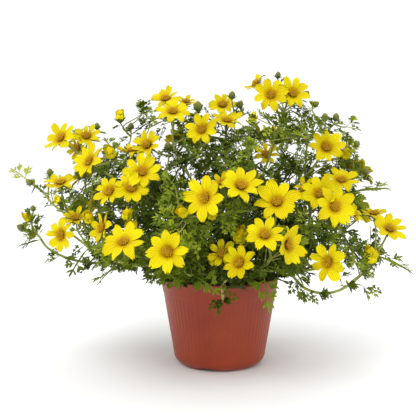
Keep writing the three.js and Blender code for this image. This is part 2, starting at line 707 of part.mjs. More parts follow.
function growSide(stem, head) {
  const { at, along, way, shoot, share, run } = forkFor(head.at, stem.shoots, 0.3, 0.86);
  const neck = plus(head.at, head.face, -Math.min(NECK, way.length() * 0.3));
  const middle = at.clone().lerp(neck, 0.5);
  middle.addScaledVector(along, way.length() * 0.1);
  middle.z -= way.length() * 0.05;
  const radii = head.kind === "bloom" ? STALK_RADIUS : BUD_STALK_RADIUS;
  const segments = way.length() < SHORT_STALK ? 2 : 3;
  const plan = { points: [at, middle, neck, head.at], segments, radii, sides: 3 };
  return { ...growShoot(stem, plan, head), from: run, penalty: SIDE_COST, parent: { shoot, share } };
}

// Where a stem carries its leaves: in the fork under each shoot, half-way up the longer stalks, and along its
// branches. Each is LEAF_SPACING or more from those before it, the lower and larger ones first.
function leafSlots(stem) {
  const slots = [];
  for (const shoot of stem.shoots.slice(1)) {
    const { head: { key }, path, parent } = shoot;
    const { at, along } = spotOn(parent.shoot, parent.share);
    const away = path[1].clone().sub(at).projectOnPlane(along).negate().normalize();
    slots.push({ at, along, away, low: shoot.from / 220, key, carriers: [key, parent.shoot.head.key] });
    if (shoot.penalty === 0 || shoot.span < 44) continue;
    const half = spotOn(shoot, 0.5);
    slots.push({ ...half, away: sideOf(half.along, key), low: 0.7, key: key + 500, carriers: [key] });
  }
  for (const shoot of stem.shoots.filter(({ penalty }) => penalty === 0)) {
    const count = Math.floor((0.8 * shoot.span) / LEAF_SPACING);
    for (let i = 1; i <= count; i++) {
      const share = 0.18 + (0.66 * (i - 0.5)) / count;
      const spot = spotOn(shoot, share);
      const key = shoot.head.key * 20 + 1000 + i;
      if (spot.at.z < POT_HEIGHT - 4) continue;
      slots.push({ ...spot, away: sideOf(spot.along, key), low: share, key, carriers: [shoot.head.key] });
    }
  }
  const apart = [];
  for (const slot of slots.sort((a, b) => a.low - b.low)) {
    if (apart.every(({ at }) => at.distanceTo(slot.at) > LEAF_SPACING)) apart.push(slot);
  }
  return apart;
}

function sideOf(along, key) {
  const across = up.clone().cross(along);
  if (across.length() < 0.1) across.set(1, 0, 0);
  const turn = between(0, 2 * Math.PI, key, 11);
  return across.normalize().applyAxisAngle(along, turn);
}

const LEAF_TURNS = [0, 45, -45, 90, -90, 135, -135, 180];
const LEAF_SIZES = [1, 0.72];

function leafAt(slot, lengths, turn, size) {
  const away = slot.away.clone().applyAxisAngle(slot.along, radians(turn));
  const spread = radians(between(48, 66, slot.key, 12));
  const way = plus(slot.along.clone().multiplyScalar(Math.cos(spread)), away, Math.sin(spread)).normalize();
  const length = THREE.MathUtils.lerp(...lengths, slot.low) * between(0.88, 1.12, slot.key, 13) * size;
  const pairs = slot.low < LOWEST_LEAVES ? 3 : 2;
  return { at: slot.at, way, length, pairs, arch: between(0.12, 0.34, slot.key, 14) };
}

function growLeaf(stem, slot) {
  const ignore = (piece) => piece.kind === "shoot" && slot.carriers.includes(piece.key);
  for (const size of LEAF_SIZES) {
    for (const turn of LEAF_TURNS) {
      const solid = makeLeaf(leafAt(slot, stem.leafLength, turn, size));
      if (!isClear(solid, ignore)) continue;
      remember(solid, stem.name, "leaf", slot.key);
      return solid;
    }
  }
  return null;
}

// Both lists of stems in one form: points for via and heads, and a direction for the way each head faces.
function facing(right, rise) {
  const [a, b] = [radians(right), radians(rise)];
  return vector(Math.sin(a) * Math.cos(b), -Math.cos(a) * Math.cos(b), Math.sin(b));
}

const asSeen = ([kind, across, down, behind, right, rise, width]) => (
  { kind, at: seen(across, down, behind), face: facing(right, rise), width }
);
const asTurned = ([kind, turn, out, height, width]) => (
  { kind, at: about(turn, out, height), face: facing(turn + 90, 12 + (height - 120) * 0.36), width }
);

function withPlaces(stem, place, asHead, leafLength) {
  const branches = stem.branches.map(({ via, heads }) => (
    { via: via.map((spot) => place(...spot)), heads: heads.map(asHead) }
  ));
  const heads = branches.flatMap((branch) => branch.heads);
  return { ...stem, branches, heads, leafLength, base: about(stem.turn, stem.ring, 0) };
}

const STEMS = [
  ...SEEN_STEMS.map((stem) => withPlaces(stem, seen, asSeen, LEAF_LENGTH)),
  ...BACK_STEMS.map((stem) => withPlaces(stem, about, asTurned, BACK_LEAF_LENGTH)),
];
STEMS.forEach((stem, i) => stem.heads.forEach((head, k) => { head.key = (i + 1) * 20 + k; }));

// Each bloom turns on its cup until a petal of it meets a neighbour's, where one is near enough. Blooms that
// meet are one body. Each body is a node, named after the leafy stem of its first bloom.
function bunchBlooms() {
  const bunches = [];
  const meets = (solid) => bunches.filter((other) => other.solid.intersect(solid).volume() > 0.02);
  for (const stem of STEMS) {
    for (const head of stem.heads.filter(({ kind }) => kind === "bloom")) {
      const turns = TURNS.map((turn) => makeBloom(head, between(0, 45, head.key, 1) + turn));
      const solid = turns.find((made) => meets(made).length > 0) ?? turns[0];
      remember(solid, stem.name, "bloom", head.key);
      const met = meets(solid);
      for (const other of met) bunches.splice(bunches.indexOf(other), 1);
      const joined = wasm.Manifold.union([...met.map((other) => other.solid), solid]);
      bunches.push({ stem: met[0]?.stem ?? stem.name, solid: joined });
    }
  }
  return bunches;
}

// The whole plant in its pot
const group = new THREE.Group();
const pot = makePot();
const soil = makeSoil(STEMS.map(({ base }) => base));
remember(pot, "pot", "pot", 0);
remember(soil, "soil", "soil", 0);
group.add(meshOf(pot, "pot", MATERIALS.pot), meshOf(soil, "soil", MATERIALS.soil));

const named = {};
for (const { stem, solid } of bunchBlooms()) {
  named[stem] = (named[stem] ?? 0) + 1;
  group.add(meshOf(solid, `blooms_${stem}_${named[stem]}`, MATERIALS.petal));
}

for (const stem of STEMS) stem.shoots = [growMain(stem)];
for (const stem of STEMS) {
  for (const branch of stem.branches.slice(1)) stem.shoots.push(growBranch(stem, branch));
}
for (const stem of STEMS) {
  const near = (head) => head.at.distanceTo(stem.base);
  const rest = stem.branches.flatMap(({ heads }) => heads.slice(1)).sort((a, b) => near(a) - near(b));
  for (const head of rest) stem.shoots.push(growSide(stem, head));
}
for (const stem of STEMS) {
  const leaves = leafSlots(stem).map((slot) => growLeaf(stem, slot)).filter(Boolean);
  const body = wasm.Manifold.union([...stem.shoots.map(({ solid }) => solid), ...leaves]);
  group.add(meshOf(body, `leafy_stem_${stem.name}`, MATERIALS.leaf));
}

export default group;
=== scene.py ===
# The looks of the potted bidens: fine flower heads, leaves, stems, soil and pot, each in the place of its
# plain solids. Sizes are in millimetres, as those of the solids are, until make_piece turns them to metres.
import json
import math
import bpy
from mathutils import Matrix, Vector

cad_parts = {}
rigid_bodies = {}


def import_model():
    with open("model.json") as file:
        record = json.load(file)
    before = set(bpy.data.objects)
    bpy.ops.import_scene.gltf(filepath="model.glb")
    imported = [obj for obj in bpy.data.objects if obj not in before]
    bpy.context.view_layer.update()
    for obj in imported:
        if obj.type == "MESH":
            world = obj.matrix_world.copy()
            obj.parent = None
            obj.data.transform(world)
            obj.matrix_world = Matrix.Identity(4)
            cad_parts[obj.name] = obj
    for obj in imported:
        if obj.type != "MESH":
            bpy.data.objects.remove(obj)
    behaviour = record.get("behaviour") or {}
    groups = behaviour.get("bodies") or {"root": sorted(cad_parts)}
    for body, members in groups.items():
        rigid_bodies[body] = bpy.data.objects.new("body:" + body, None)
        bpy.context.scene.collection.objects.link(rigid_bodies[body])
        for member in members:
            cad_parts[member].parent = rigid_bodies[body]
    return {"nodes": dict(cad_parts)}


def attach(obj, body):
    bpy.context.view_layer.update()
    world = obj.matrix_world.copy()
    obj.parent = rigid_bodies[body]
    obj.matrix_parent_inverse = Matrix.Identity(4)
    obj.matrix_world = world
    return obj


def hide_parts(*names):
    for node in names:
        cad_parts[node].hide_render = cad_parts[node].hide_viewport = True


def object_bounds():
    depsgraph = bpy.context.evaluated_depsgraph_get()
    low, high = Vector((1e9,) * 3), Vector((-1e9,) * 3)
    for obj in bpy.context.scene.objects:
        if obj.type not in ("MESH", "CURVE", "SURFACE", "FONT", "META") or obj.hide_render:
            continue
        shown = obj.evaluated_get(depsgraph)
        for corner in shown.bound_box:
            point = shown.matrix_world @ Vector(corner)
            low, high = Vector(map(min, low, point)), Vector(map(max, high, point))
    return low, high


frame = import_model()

from types import SimpleNamespace

import bpy
import numpy as np
from mathutils.kdtree import KDTree

CAD_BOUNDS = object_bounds()
METRES = 0.001

# The pot, as its solid has it, and the finer flutes of the real one.
POT_HEIGHT = 90
RIM_RADIUS = 60
RIM_BAND = 15
RIM_STEP = 0.5
WALL = 1.6
WALL_SLOPE = 0.168
HEEL_ROUND = 12
HEEL_RADIUS = 47
FOOT_RING = (32, 37)
MIDDLE_FOOT_RADIUS = 9
FLOOR = (5, 6.6)
ARCHES = 4
ARCH_HEIGHT = 4
ARCH_WIDTH = 24
ARCH_TURN = 252
DRAIN_HOLES = 6
DRAIN_RADIUS = 3.6
DRAIN_RING = 24
FINE_FLUTES = 72
FINE_FLUTE_DEPTH = 0.32

# The soil.
SOIL_TOP = 77
SOIL_CROWN = 4
CLEAR = 0.35
HOLE_BOTTOM = 64
INNER_RING = 7.5
OUTER_RING = 19

# Stems, leaves and flower heads, as their solids have them.
STEM_RADIUS = (1.75, 1.0)
BRANCH_RADIUS = (1.4, 0.95)
STALK_RADIUS = (0.95, 0.8)
BUD_STALK_RADIUS = (0.84, 0.7)
CUP_RADIUS = 2.5
CUP_DEPTH = 3.6
BUD_LENGTH = (0.65, 0.85)
PATH_END = 0.94
NECK = 12
SHORTEST_STALK = 26
SHORT_STALK = 42
FORK_PARTS = (0.35, 0.65)
RUN_COST = 0.42
TURN_COST = 60
SHORT_COST = 2
SIDE_COST = 8
SEAT = 0.3
DISC_RADIUS = 4.4
PETAL_THICKNESS = 1.2
PETAL_RISE = 0.8
PETAL_BEND = 0.58
LEAF_SPACING = 26
LEAF_LENGTH = (46, 30)
BACK_LEAF_LENGTH = (58, 40)
LOWEST_LEAVES = 0.2
LEAF_TIP = 1.12
LEAF_LOBED = (0.3, 0.86)
LEAF_REACH = (0.36, 0.07)
FOUND_WITHIN = 0.06

# The eye of the front view. A head that shows there is given by the pixel where its middle appears in a
# picture of 416 x 416, and by how many millimetres it stands behind the pot's axis.
EYE = np.array([-11.8, -858.8, 241.4])
EYE_DOWN = math.radians(5.5)
EYE_FOCUS = 850
PICTURE = 416
VIEW_MIDDLE = PICTURE / 2

# The leafy stems that show in the front view. turn is where a stem stands in the soil, in degrees about the
# pot from the viewer's right, and ring how far out. It forks low down into its branches. via are the points
# that a branch passes, as [across, down, behind]. A head is [kind, across, down, behind, degrees turned
# right, degrees turned up, width], and a branch ends in its first head.
SEEN_STEMS = [
  {"name": "left", "turn": 180, "ring": OUTER_RING, "branches": [
    {"via": [[148, 252, -16], [100, 264, -35], [55, 253, -35]], "heads": [
      ["bud", 20, 227, -35, -60, 25, 6],
      ["opening", 28, 218, -30, -30, 50, 8],
      ["bud", 33, 208, -38, 0, 70, 5],
    ]},
    {"via": [[105, 240, -30], [62, 212, -40]], "heads": [
      ["bud", 29, 182, -45, -50, 35, 6],
      ["bloom", 61, 184, -50, -10, 62, 32],
      ["bud", 50, 172, -38, 0, 70, 6],
    ]},
  ]},
  {"name": "front_left", "turn": 218, "ring": OUTER_RING, "branches": [
    {"via": [[170, 266, -66], [115, 262, -88]], "heads": [
      ["bloom", 62, 235, -71, -30, 10, 34],
      ["bloom", 76, 219, -67, 10, 50, 26],
      ["bloom", 103, 228, -104, -45, 20, 30],
      ["opening", 89, 219, -92, -10, 40, 9],
    ]},
    {"via": [[150, 258, -118]], "heads": [
      ["bloom", 124, 243, -142, -15, 48, 40],
      ["opening", 131, 230, -120, 0, 60, 11],
      ["opening", 127, 216, -112, 10, 60, 9],
    ]},
  ]},
  {"name": "front", "turn": 262, "ring": OUTER_RING, "branches": [
    {"via": [[222, 279, -66], [223, 300, -88], [222, 284, -100]], "heads": [
      ["bloom", 222, 254, -112, 0, 25, 29],
      ["bloom", 240, 263, -127, -25, 20, 34],
      ["opening", 240, 238, -108, 10, 55, 12],
      ["opening", 213, 262, -100, -40, 50, 7],
    ]},
    {"via": [[203, 272, -78], [190, 276, -112]], "heads": [
      ["bloom", 168, 252, -150, -8, 14, 40],
    ]},
  ]},
  {"name": "front_right", "turn": 304, "ring": OUTER_RING, "branches": [
    {"via": [[252, 268, -70], [270, 262, -112]], "heads": [
      ["bloom", 286, 245, -139, 48, 8, 38],
      ["bloom", 265, 236, -147, -8, 36, 37],
      ["bloom", 277, 203, -128, -8, 30, 42],
    ]},
    {"via": [[296, 272, -88]], "heads": [
      ["bloom", 329, 262, -118, -38, 8, 38],
      ["tip", 305, 292, -104, 20, -40, 2],
    ]},
  ]},
  {"name": "right", "turn": 350, "ring": OUTER_RING, "branches": [
    {"via": [[278, 264, -18], [312, 292, -48], [352, 284, -44]], "heads": [
      ["bloom", 389, 230, -28, 12, 48, 38],
      ["bloom", 374, 215, -12, -20, 72, 29],
      ["opening", 370, 258, -42, 10, 70, 14],
      ["tip", 366, 288, -52, 40, -30, 2],
    ]},
    {"via": [[277, 252, -6], [312, 232, -48]], "heads": [
      ["bloom", 334, 207, -93, 12, 18, 40],
      ["bloom", 320, 195, -83, -12, 28, 38],
      ["bloom", 341, 181, -42, 5, 52, 37],
      ["bloom", 305, 189, -56, -35, 40, 28],
      ["bloom", 352, 213, -60, 45, 30, 26],
      ["bud", 366, 171, -20, 30, 50, 6],
    ]},
  ]},
  {"name": "top_right", "turn": 8, "ring": INNER_RING, "branches": [
    {"via": [[244, 225, 6], [292, 190, -14]], "heads": [
      ["bloom", 326, 148, -32, 5, 24, 38],
      ["bud", 325, 117, -8, -10, 60, 7],
      ["bud", 336, 117, 4, 10, 65, 7],
      ["bud", 357, 144, 0, 40, 50, 6],
      ["tip", 351, 122, 20, 30, 60, 2],
      ["opening", 345, 154, -14, 35, 40, 11],
      ["bud", 306, 139, -52, -10, 30, 7],
    ]},
    {"via": [[272, 150, 18]], "heads": [
      ["bloom", 292, 94, 1, 10, 20, 37],
      ["bloom", 271, 95, -5, -10, 15, 36],
      ["bloom", 257, 84, 18, -60, 40, 26],
      ["bud", 278, 75, 30, 10, 70, 6],
      ["bud", 306, 94, 22, 50, 40, 7],
      ["bud", 316, 104, 12, 60, 30, 6],
    ]},
  ]},
  {"name": "top_left", "turn": 112, "ring": INNER_RING, "branches": [
    {"via": [[222, 215, 14], [226, 160, 30]], "heads": [
      ["bloom", 223, 106, 31, -10, 42, 32],
      ["bloom", 227, 122, 9, 5, 62, 37],
      ["bloom", 266, 155, 84, 5, 30, 30],
      ["bud", 232, 95, 10, 10, 60, 7],
      ["bud", 240, 104, 20, 40, 50, 7],
    ]},
    {"via": [[180, 165, 10]], "heads": [
      ["bloom", 173, 113, -12, 0, 50, 37],
      ["bloom", 166, 100, 6, -15, 48, 33],
      ["bloom", 186, 103, 36, 20, 66, 26],
      ["bloom", 202, 130, -42, -12, 22, 35],
      ["bud", 198, 106, 4, 0, 60, 9],
      ["tip", 143, 108, 34, -40, 60, 2],
    ]},
  ]},
  {"name": "middle", "turn": 262, "ring": INNER_RING, "branches": [
    {"via": [[221, 240, -30], [226, 215, -84]], "heads": [
      ["bloom", 241, 187, -130, 5, 36, 38],
      ["bloom", 206, 198, -142, -32, 12, 42],
      ["bloom", 222, 184, -108, -20, 60, 27],
      ["opening", 183, 213, -134, -30, 30, 9],
      ["opening", 212, 215, -120, 0, 40, 9],
    ]},
  ]},
  {"name": "upper_left", "turn": 192, "ring": INNER_RING, "branches": [
    {"via": [[192, 235, -14], [138, 196, -24]], "heads": [
      ["bloom", 62, 139, -22, -34, 34, 36],
      ["bloom", 87, 137, 6, -4, 38, 31],
      ["bloom", 78, 148, 4, -30, 0, 27],
      ["bloom", 90, 162, -60, -38, 28, 36],
      ["bud", 97, 126, 20, 10, 70, 6],
      ["opening", 120, 117, -4, 0, 80, 9],
      ["bud", 131, 126, 8, 10, 80, 6],
    ]},
    {"via": [[165, 212, -62]], "heads": [
      ["bloom", 142, 173, -92, 5, 34, 38],
      ["bloom", 131, 189, -101, 8, 32, 35],
      ["bloom", 110, 192, -98, -20, 30, 32],
      ["bloom", 148, 146, -44, -22, 32, 32],
      ["bloom", 132, 152, -44, -5, 70, 28],
      ["opening", 111, 154, -58, -20, 50, 10],
      ["bud", 168, 146, -20, -10, 70, 7],
    ]},
  ]},
]

# The leafy stems of the back half, which the front view hides. Their heads are given by [kind, degrees about
# the pot, mm out from its axis, mm up, width], and face outwards, the higher ones more upwards. These stems
# also have leafy branches without a flower, and longer leaves.
BACK_STEMS = [
  {"name": "back_right", "turn": 44, "ring": OUTER_RING, "branches": [
    {"via": [[40, 58, 110], [32, 120, 128]], "heads": [
      ["bloom", 28, 176, 150, 38],
      ["bloom", 36, 172, 158, 36],
      ["bloom", 18, 158, 192, 36],
      ["bloom", 27, 156, 198, 34],
      ["tip", 6, 158, 116, 2],
    ]},
    {"via": [[66, 100, 140]], "heads": [
      ["bloom", 66, 172, 160, 40],
      ["bloom", 74, 170, 168, 38],
      ["bloom", 58, 128, 226, 36],
      ["bloom", 69, 127, 230, 34],
      ["opening", 70, 112, 248, 10],
      ["tip", 46, 142, 186, 2],
    ]},
    {"via": [[78, 66, 104]], "heads": [
      ["tip", 84, 146, 88, 2],
      ["tip", 62, 138, 98, 2],
    ]},
    {"via": [[44, 56, 140]], "heads": [
      ["tip", 48, 116, 150, 2],
    ]},
  ]},
  {"name": "back_left", "turn": 134, "ring": OUTER_RING, "branches": [
    {"via": [[136, 58, 110], [148, 118, 126]], "heads": [
      ["bloom", 150, 178, 146, 38],
      ["bloom", 142, 176, 154, 36],
      ["bloom", 160, 156, 188, 36],
      ["bloom", 151, 154, 194, 36],
      ["opening", 160, 184, 160, 10],
    ]},
    {"via": [[108, 102, 136]], "heads": [
      ["bloom", 104, 176, 148, 38],
      ["bloom", 112, 174, 156, 38],
      ["bloom", 100, 132, 222, 36],
      ["bloom", 111, 130, 226, 34],
      ["tip", 84, 128, 182, 2],
      ["tip", 130, 144, 184, 2],
    ]},
    {"via": [[122, 66, 104]], "heads": [
      ["tip", 112, 140, 88, 2],
      ["tip", 134, 142, 98, 2],
    ]},
    {"via": [[152, 58, 138]], "heads": [
      ["tip", 170, 128, 128, 2],
    ]},
  ]},
]


UP = np.array([0.0, 0.0, 1.0])
ACROSS = np.array([1.0, 0.0, 0.0])


def unit(v):
    return v / np.linalg.norm(v)


def spun(v, axis, angle):
    """The vector v turned about a unit axis."""
    cos, sin = math.cos(angle), math.sin(angle)
    return v * cos + np.cross(axis, v) * sin + axis * (axis @ v) * (1 - cos)


def draw(*keys):
    """A seeded draw from 0 to 1, the same for the same whole-number keys."""
    value = 2166136261
    for key in keys:
        value = ((value ^ key) * 16777619) & 0xFFFFFFFF
        value ^= value >> 15
        value = (value * 2246822519) & 0xFFFFFFFF
        value ^= value >> 13
    return value / 2**32


def across_of(along, least=0.1):
    """A level direction across a shoot or head. One that stands nearly upright has the part's own."""
    across = np.cross(UP, along)
    return unit(across) if np.linalg.norm(across) > least else ACROSS


def around(axes, angle):
    """The direction across a head at an angle about its face."""
    return axes[0] * math.cos(angle) + axes[1] * math.sin(angle)


def between(low, high, *keys):
    return low + (high - low) * draw(*keys)


def mix(pair, share):
    return pair[0] * (1 - share) + pair[1] * share


def seen(across, down, behind):
    """Where the sight line through a pixel of the front view is that far behind the pot's axis."""
    rise = VIEW_MIDDLE - down
    sight = np.array([
        across - VIEW_MIDDLE,
        EYE_FOCUS * math.cos(EYE_DOWN) + rise * math.sin(EYE_DOWN),
        rise * math.cos(EYE_DOWN) - EYE_FOCUS * math.sin(EYE_DOWN),
    ])
    return EYE + sight * (behind - EYE[1]) / sight[1]


def in_picture(points):
    """The pixels of the front view where points appear: across and down."""
    away = points - EYE
    depth = away[..., 1] * math.cos(EYE_DOWN) - away[..., 2] * math.sin(EYE_DOWN)
    rise = away[..., 1] * math.sin(EYE_DOWN) + away[..., 2] * math.cos(EYE_DOWN)
    return VIEW_MIDDLE + EYE_FOCUS * away[..., 0] / depth, VIEW_MIDDLE - EYE_FOCUS * rise / depth


def about(turn, out, height):
    """A point by its turn about the pot, how far out it is and how high."""
    return np.array([out * math.cos(math.radians(turn)), out * math.sin(math.radians(turn)), height])


def on_curve(points, shares):
    """Points on the uniform Catmull-Rom curve through the points, at shares from 0 to 1."""
    points = np.asarray(points, float)
    ends = [2 * points[0] - points[1], *points, 2 * points[-1] - points[-2]]
    padded = np.array(ends)
    reach = np.asarray(shares, float) * (len(points) - 1)
    i = np.minimum(reach.astype(int), len(points) - 2)
    t = (reach - i)[:, None]
    before, a, b, after = padded[i], padded[i + 1], padded[i + 2], padded[i + 3]
    first, second = (b - before) / 2, (after - a) / 2
    bend = -3 * a + 3 * b - 2 * first - second
    twist = 2 * a - 2 * b + first + second
    return a + first * t + bend * t**2 + twist * t**3


# Where the solids are
def tree_of(names):
    """A search tree over the corners of some nodes, in millimetres, and the node of each corner."""
    corners = [(v.co / METRES, name) for name in names for v in frame["nodes"][name].data.vertices]
    tree = KDTree(len(corners))
    for i, (corner, _) in enumerate(corners):
        tree.insert(corner, i)
    tree.balance()
    return tree, [name for _, name in corners]


def found_at(points, tree):
    """The corners of the tree that lie at the points."""
    found = [tree.find(point) for point in points]
    return [i for _, i, distance in found if distance < FOUND_WITHIN]


BLOOM_NODES = sorted(name for name in frame["nodes"] if name.startswith("blooms_"))
BLOOM_TREE, BLOOM_CORNERS = tree_of(BLOOM_NODES)

# How far a shoot's middle may sway to pass clear of others, in mm to its side and upwards, in this order.
SWAYS = [
    (0, 0), (6, 0), (-6, 0), (0, 6), (0, -6), (11, 4), (-11, 4), (0, 12), (16, 0), (-16, 0),
    (8, -8), (-8, -8), (14, 12), (-14, 12), (22, 4), (-22, 4), (0, 20), (26, 10), (-26, 10),
]


def shoot_rings(plan, points, head):
    """The rings of a shoot as its solid has them: along its path, then its neck, and then its cup or bud."""
    shares = np.arange(plan.segments) / plan.segments
    centres = on_curve(points, PATH_END * shares)
    rings = [(spot, plan.radii[0]) for spot in plan.foot]
    rings += [(centre, mix(plan.radii, share)) for centre, share in zip(centres, shares)]
    if head.kind == "tip":
        return [*rings, (head.at, 0)]
    if head.kind == "bloom":
        return [*rings, (head.at - head.face * CUP_DEPTH, plan.radii[1]), (head.at, CUP_RADIUS)]
    neck, point = (head.at + head.face * head.width * out for out in (-BUD_LENGTH[0], BUD_LENGTH[1]))
    return [*rings, (neck, plan.radii[1]), (head.at, head.width / 2), (point, 0)]


def ring_corners(rings, sides):
    """The corners of a solid tube through rings of (centre, radius)."""
    corners = []
    side = None
    for i, (centre, radius) in enumerate(rings):
        along = unit(rings[min(len(rings) - 1, i + 1)][0] - rings[max(0, i - 1)][0])
        if side is None:
            side = ACROSS if abs(along[2]) > 0.9 else UP
        side = unit(side - along * (side @ along))
        other = np.cross(along, side)
        for angle in np.arange(sides) * 2 * math.pi / sides:
            corners.append(centre + radius * (side * math.cos(angle) + other * math.sin(angle)))
    return corners


def grow_shoot(
    stem, head, points, segments, radii, sides, steady=0, foot=(), start=0, penalty=0, parent=None,
):
    """A shoot from its parent to a head, with the sway that the stem's solid has."""
    plan = SimpleNamespace(segments=segments, radii=radii, foot=foot)
    along = unit(points[-1] - points[steady])
    aside = unit(np.cross(along, UP))
    best = (-1, None)
    for side, rise in SWAYS:
        swayed = [
            p + aside * side + UP * rise if steady < i < len(points) - 2 else p for i, p in enumerate(points)
        ]
        rings = shoot_rings(plan, swayed, head)
        count = len(found_at(ring_corners(rings, sides), stem.tree))
        if count > best[0]:
            best = (count, rings)
    rings = best[1]
    whole = rings[:-1] if head.kind == "bloom" else rings
    stalk = whole if head.kind in ("bloom", "tip") else rings[:-2]
    return SimpleNamespace(
        head=head, path=[centre for centre, _ in whole], rings=stalk,
        span=np.linalg.norm(head.at - points[0]), start=start, penalty=penalty, parent=parent,
    )


def spot_on(shoot, share):
    """A place on a shoot, share of the way along its rings, and the way that the shoot runs there."""
    reach = share * (len(shoot.path) - 1)
    i = min(int(reach), len(shoot.path) - 2)
    here, after = shoot.path[i], shoot.path[i + 1]
    return here + (after - here) * (reach - i), unit(after - here)


def soil_height(out):
    return SOIL_TOP + SOIL_CROWN * (1 - (out / (wall_radius(SOIL_TOP) - WALL)) ** 2)


def wall_radius(height):
    return HEEL_RADIUS + (height - HEEL_ROUND) * WALL_SLOPE


def grow_main(stem):
    """The first branch of a stem rises from its hole. Its path ends along the way its head faces."""
    x, y = stem.base[:2]
    branch = stem.branches[0]
    head = branch.heads[0]
    ground = np.array([x, y, soil_height(math.hypot(x, y)) + 2])
    lean = (ground + 12 * UP) * 0.88 + branch.via[0] * 0.12
    points = [ground, lean, *branch.via, head.at - head.face * (NECK + 6), head.at]
    foot = [np.array([x, y, HOLE_BOTTOM + CLEAR])]
    return grow_shoot(stem, head, points, 5 + len(branch.via), STEM_RADIUS, 4, steady=1, foot=foot)


def fork_for(aim, shoots, lowest, highest):
    """Where a shoot best leaves those that are there: near its aim, low down and without turning back."""
    best = None
    for shoot in shoots:
        joints = len(shoot.path) - 1
        for i in range(joints):
            for part in FORK_PARTS:
                share = (i + part) / joints
                at, along = spot_on(shoot, share)
                if share < lowest or share > highest or at[2] < POT_HEIGHT - 6:
                    continue
                way = aim - at
                length = np.linalg.norm(way)
                turn = math.acos(np.clip(way @ along / length, -1, 1))
                run = shoot.start + share * shoot.span
                cost = length + RUN_COST * run + TURN_COST * max(0, turn - math.radians(60))
                cost += SHORT_COST * max(0, SHORTEST_STALK - length) + shoot.penalty
                if best is None or cost < best.cost:
                    best = SimpleNamespace(
                        cost=cost, at=at, along=along, length=length, shoot=shoot, share=share, run=run,
                    )
    return best


def grow_branch(stem, branch):
    """Each later branch of a stem forks off those before it and passes its own points."""
    fork = fork_for(branch.via[0], stem.shoots, 0.2, 0.5)
    head = branch.heads[0]
    points = [fork.at, fork.at + fork.along * 9, *branch.via, head.at - head.face * (NECK + 4), head.at]
    return grow_shoot(
        stem, head, points, 4 + len(branch.via), BRANCH_RADIUS, 3, steady=1, start=fork.run, parent=fork,
    )


def grow_side(stem, head):
    fork = fork_for(head.at, stem.shoots, 0.3, 0.86)
    neck = head.at - head.face * min(NECK, fork.length * 0.3)
    middle = (fork.at + neck) / 2 + fork.along * fork.length * 0.1 - UP * fork.length * 0.05
    radii = STALK_RADIUS if head.kind == "bloom" else BUD_STALK_RADIUS
    segments = 2 if fork.length < SHORT_STALK else 3
    points = [fork.at, middle, neck, head.at]
    return grow_shoot(stem, head, points, segments, radii, 3, start=fork.run, penalty=SIDE_COST, parent=fork)


def side_of(along, key):
    """A direction across a shoot, turned about it by a draw."""
    return spun(across_of(along), along, between(0, 2 * math.pi, key, 11))


def leaf_slots(stem):
    """Where the stem's solid may carry its large leaves."""
    slots = []

    def add(at, along, away, low, key):
        slots.append(SimpleNamespace(at=at, along=along, away=away, low=low, key=key))

    for shoot in stem.shoots[1:]:
        key = shoot.head.key
        at, along = spot_on(shoot.parent.shoot, shoot.parent.share)
        way = shoot.path[1] - at
        add(at, along, unit(along * (along @ way) - way), shoot.start / 220, key)
        if shoot.penalty > 0 and shoot.span >= 44:
            at, along = spot_on(shoot, 0.5)
            add(at, along, side_of(along, key), 0.7, key + 500)
    for shoot in [shoot for shoot in stem.shoots if shoot.penalty == 0]:
        count = int(0.8 * shoot.span / LEAF_SPACING)
        for i in range(1, count + 1):
            share = 0.18 + 0.66 * (i - 0.5) / count
            at, along = spot_on(shoot, share)
            key = shoot.head.key * 20 + 1000 + i
            if at[2] >= POT_HEIGHT - 4:
                add(at, along, side_of(along, key), share, key)
    apart = []
    for slot in sorted(slots, key=lambda slot: slot.low):
        if all(np.linalg.norm(other.at - slot.at) > LEAF_SPACING for other in apart):
            apart.append(slot)
    return apart


def leaf_frame(way, top=UP):
    """The flat and upper directions of a leaf that runs along way, with its upper side towards top."""
    flat = np.cross(way, top)
    if np.linalg.norm(flat) < 0.1:
        flat = ACROSS
    flat = unit(flat)
    return flat, unit(np.cross(flat, way))


def solid_leaf(stem, slot):
    """The leaf that the stem's solid carries at a slot, or None if it has none there."""
    for size in (1, 0.72):
        for turn in (0, 45, -45, 90, -90, 135, -135, 180):
            away = spun(slot.away, slot.along, math.radians(turn))
            spread = math.radians(between(48, 66, slot.key, 12))
            way = unit(slot.along * math.cos(spread) + away * math.sin(spread))
            length = mix(stem.leaf_length, slot.low) * between(0.88, 1.12, slot.key, 13) * size
            arch = between(0.12, 0.34, slot.key, 14)
            flat, top = leaf_frame(way)
            tip = slot.at + way * LEAF_TIP * length - UP * arch * length * LEAF_TIP**2 - top * 0.3
            if found_at([tip], stem.tree):
                return SimpleNamespace(
                    at=slot.at, way=way, flat=flat, top=top, length=length, arch=arch,
                    kind="large" if slot.low < LOWEST_LEAVES else "medium",
                )
    return None


def facing(right, rise):
    a, b = math.radians(right), math.radians(rise)
    return np.array([math.sin(a) * math.cos(b), -math.cos(a) * math.cos(b), math.sin(b)])


def seen_head(kind, across, down, behind, right, rise, width):
    return SimpleNamespace(kind=kind, at=seen(across, down, behind), face=facing(right, rise), width=width)


def back_head(kind, turn, out, height, width):
    face = facing(turn + 90, 12 + (height - 120) * 0.36)
    return SimpleNamespace(kind=kind, at=about(turn, out, height), face=face, width=width)


def with_places(stem, place, as_head, leaf_length):
    """A stem of either list in one form: points for via and heads, and the way that each head faces."""
    branches = [
        SimpleNamespace(
            via=[place(*spot) for spot in branch["via"]], heads=[as_head(*head) for head in branch["heads"]],
        )
        for branch in stem["branches"]
    ]
    return SimpleNamespace(
        name=stem["name"], branches=branches, leaf_length=leaf_length,
        base=about(stem["turn"], stem["ring"], 0),
        heads=[head for branch in branches for head in branch.heads],
        tree=tree_of(["leafy_stem_" + stem["name"]])[0],
    )


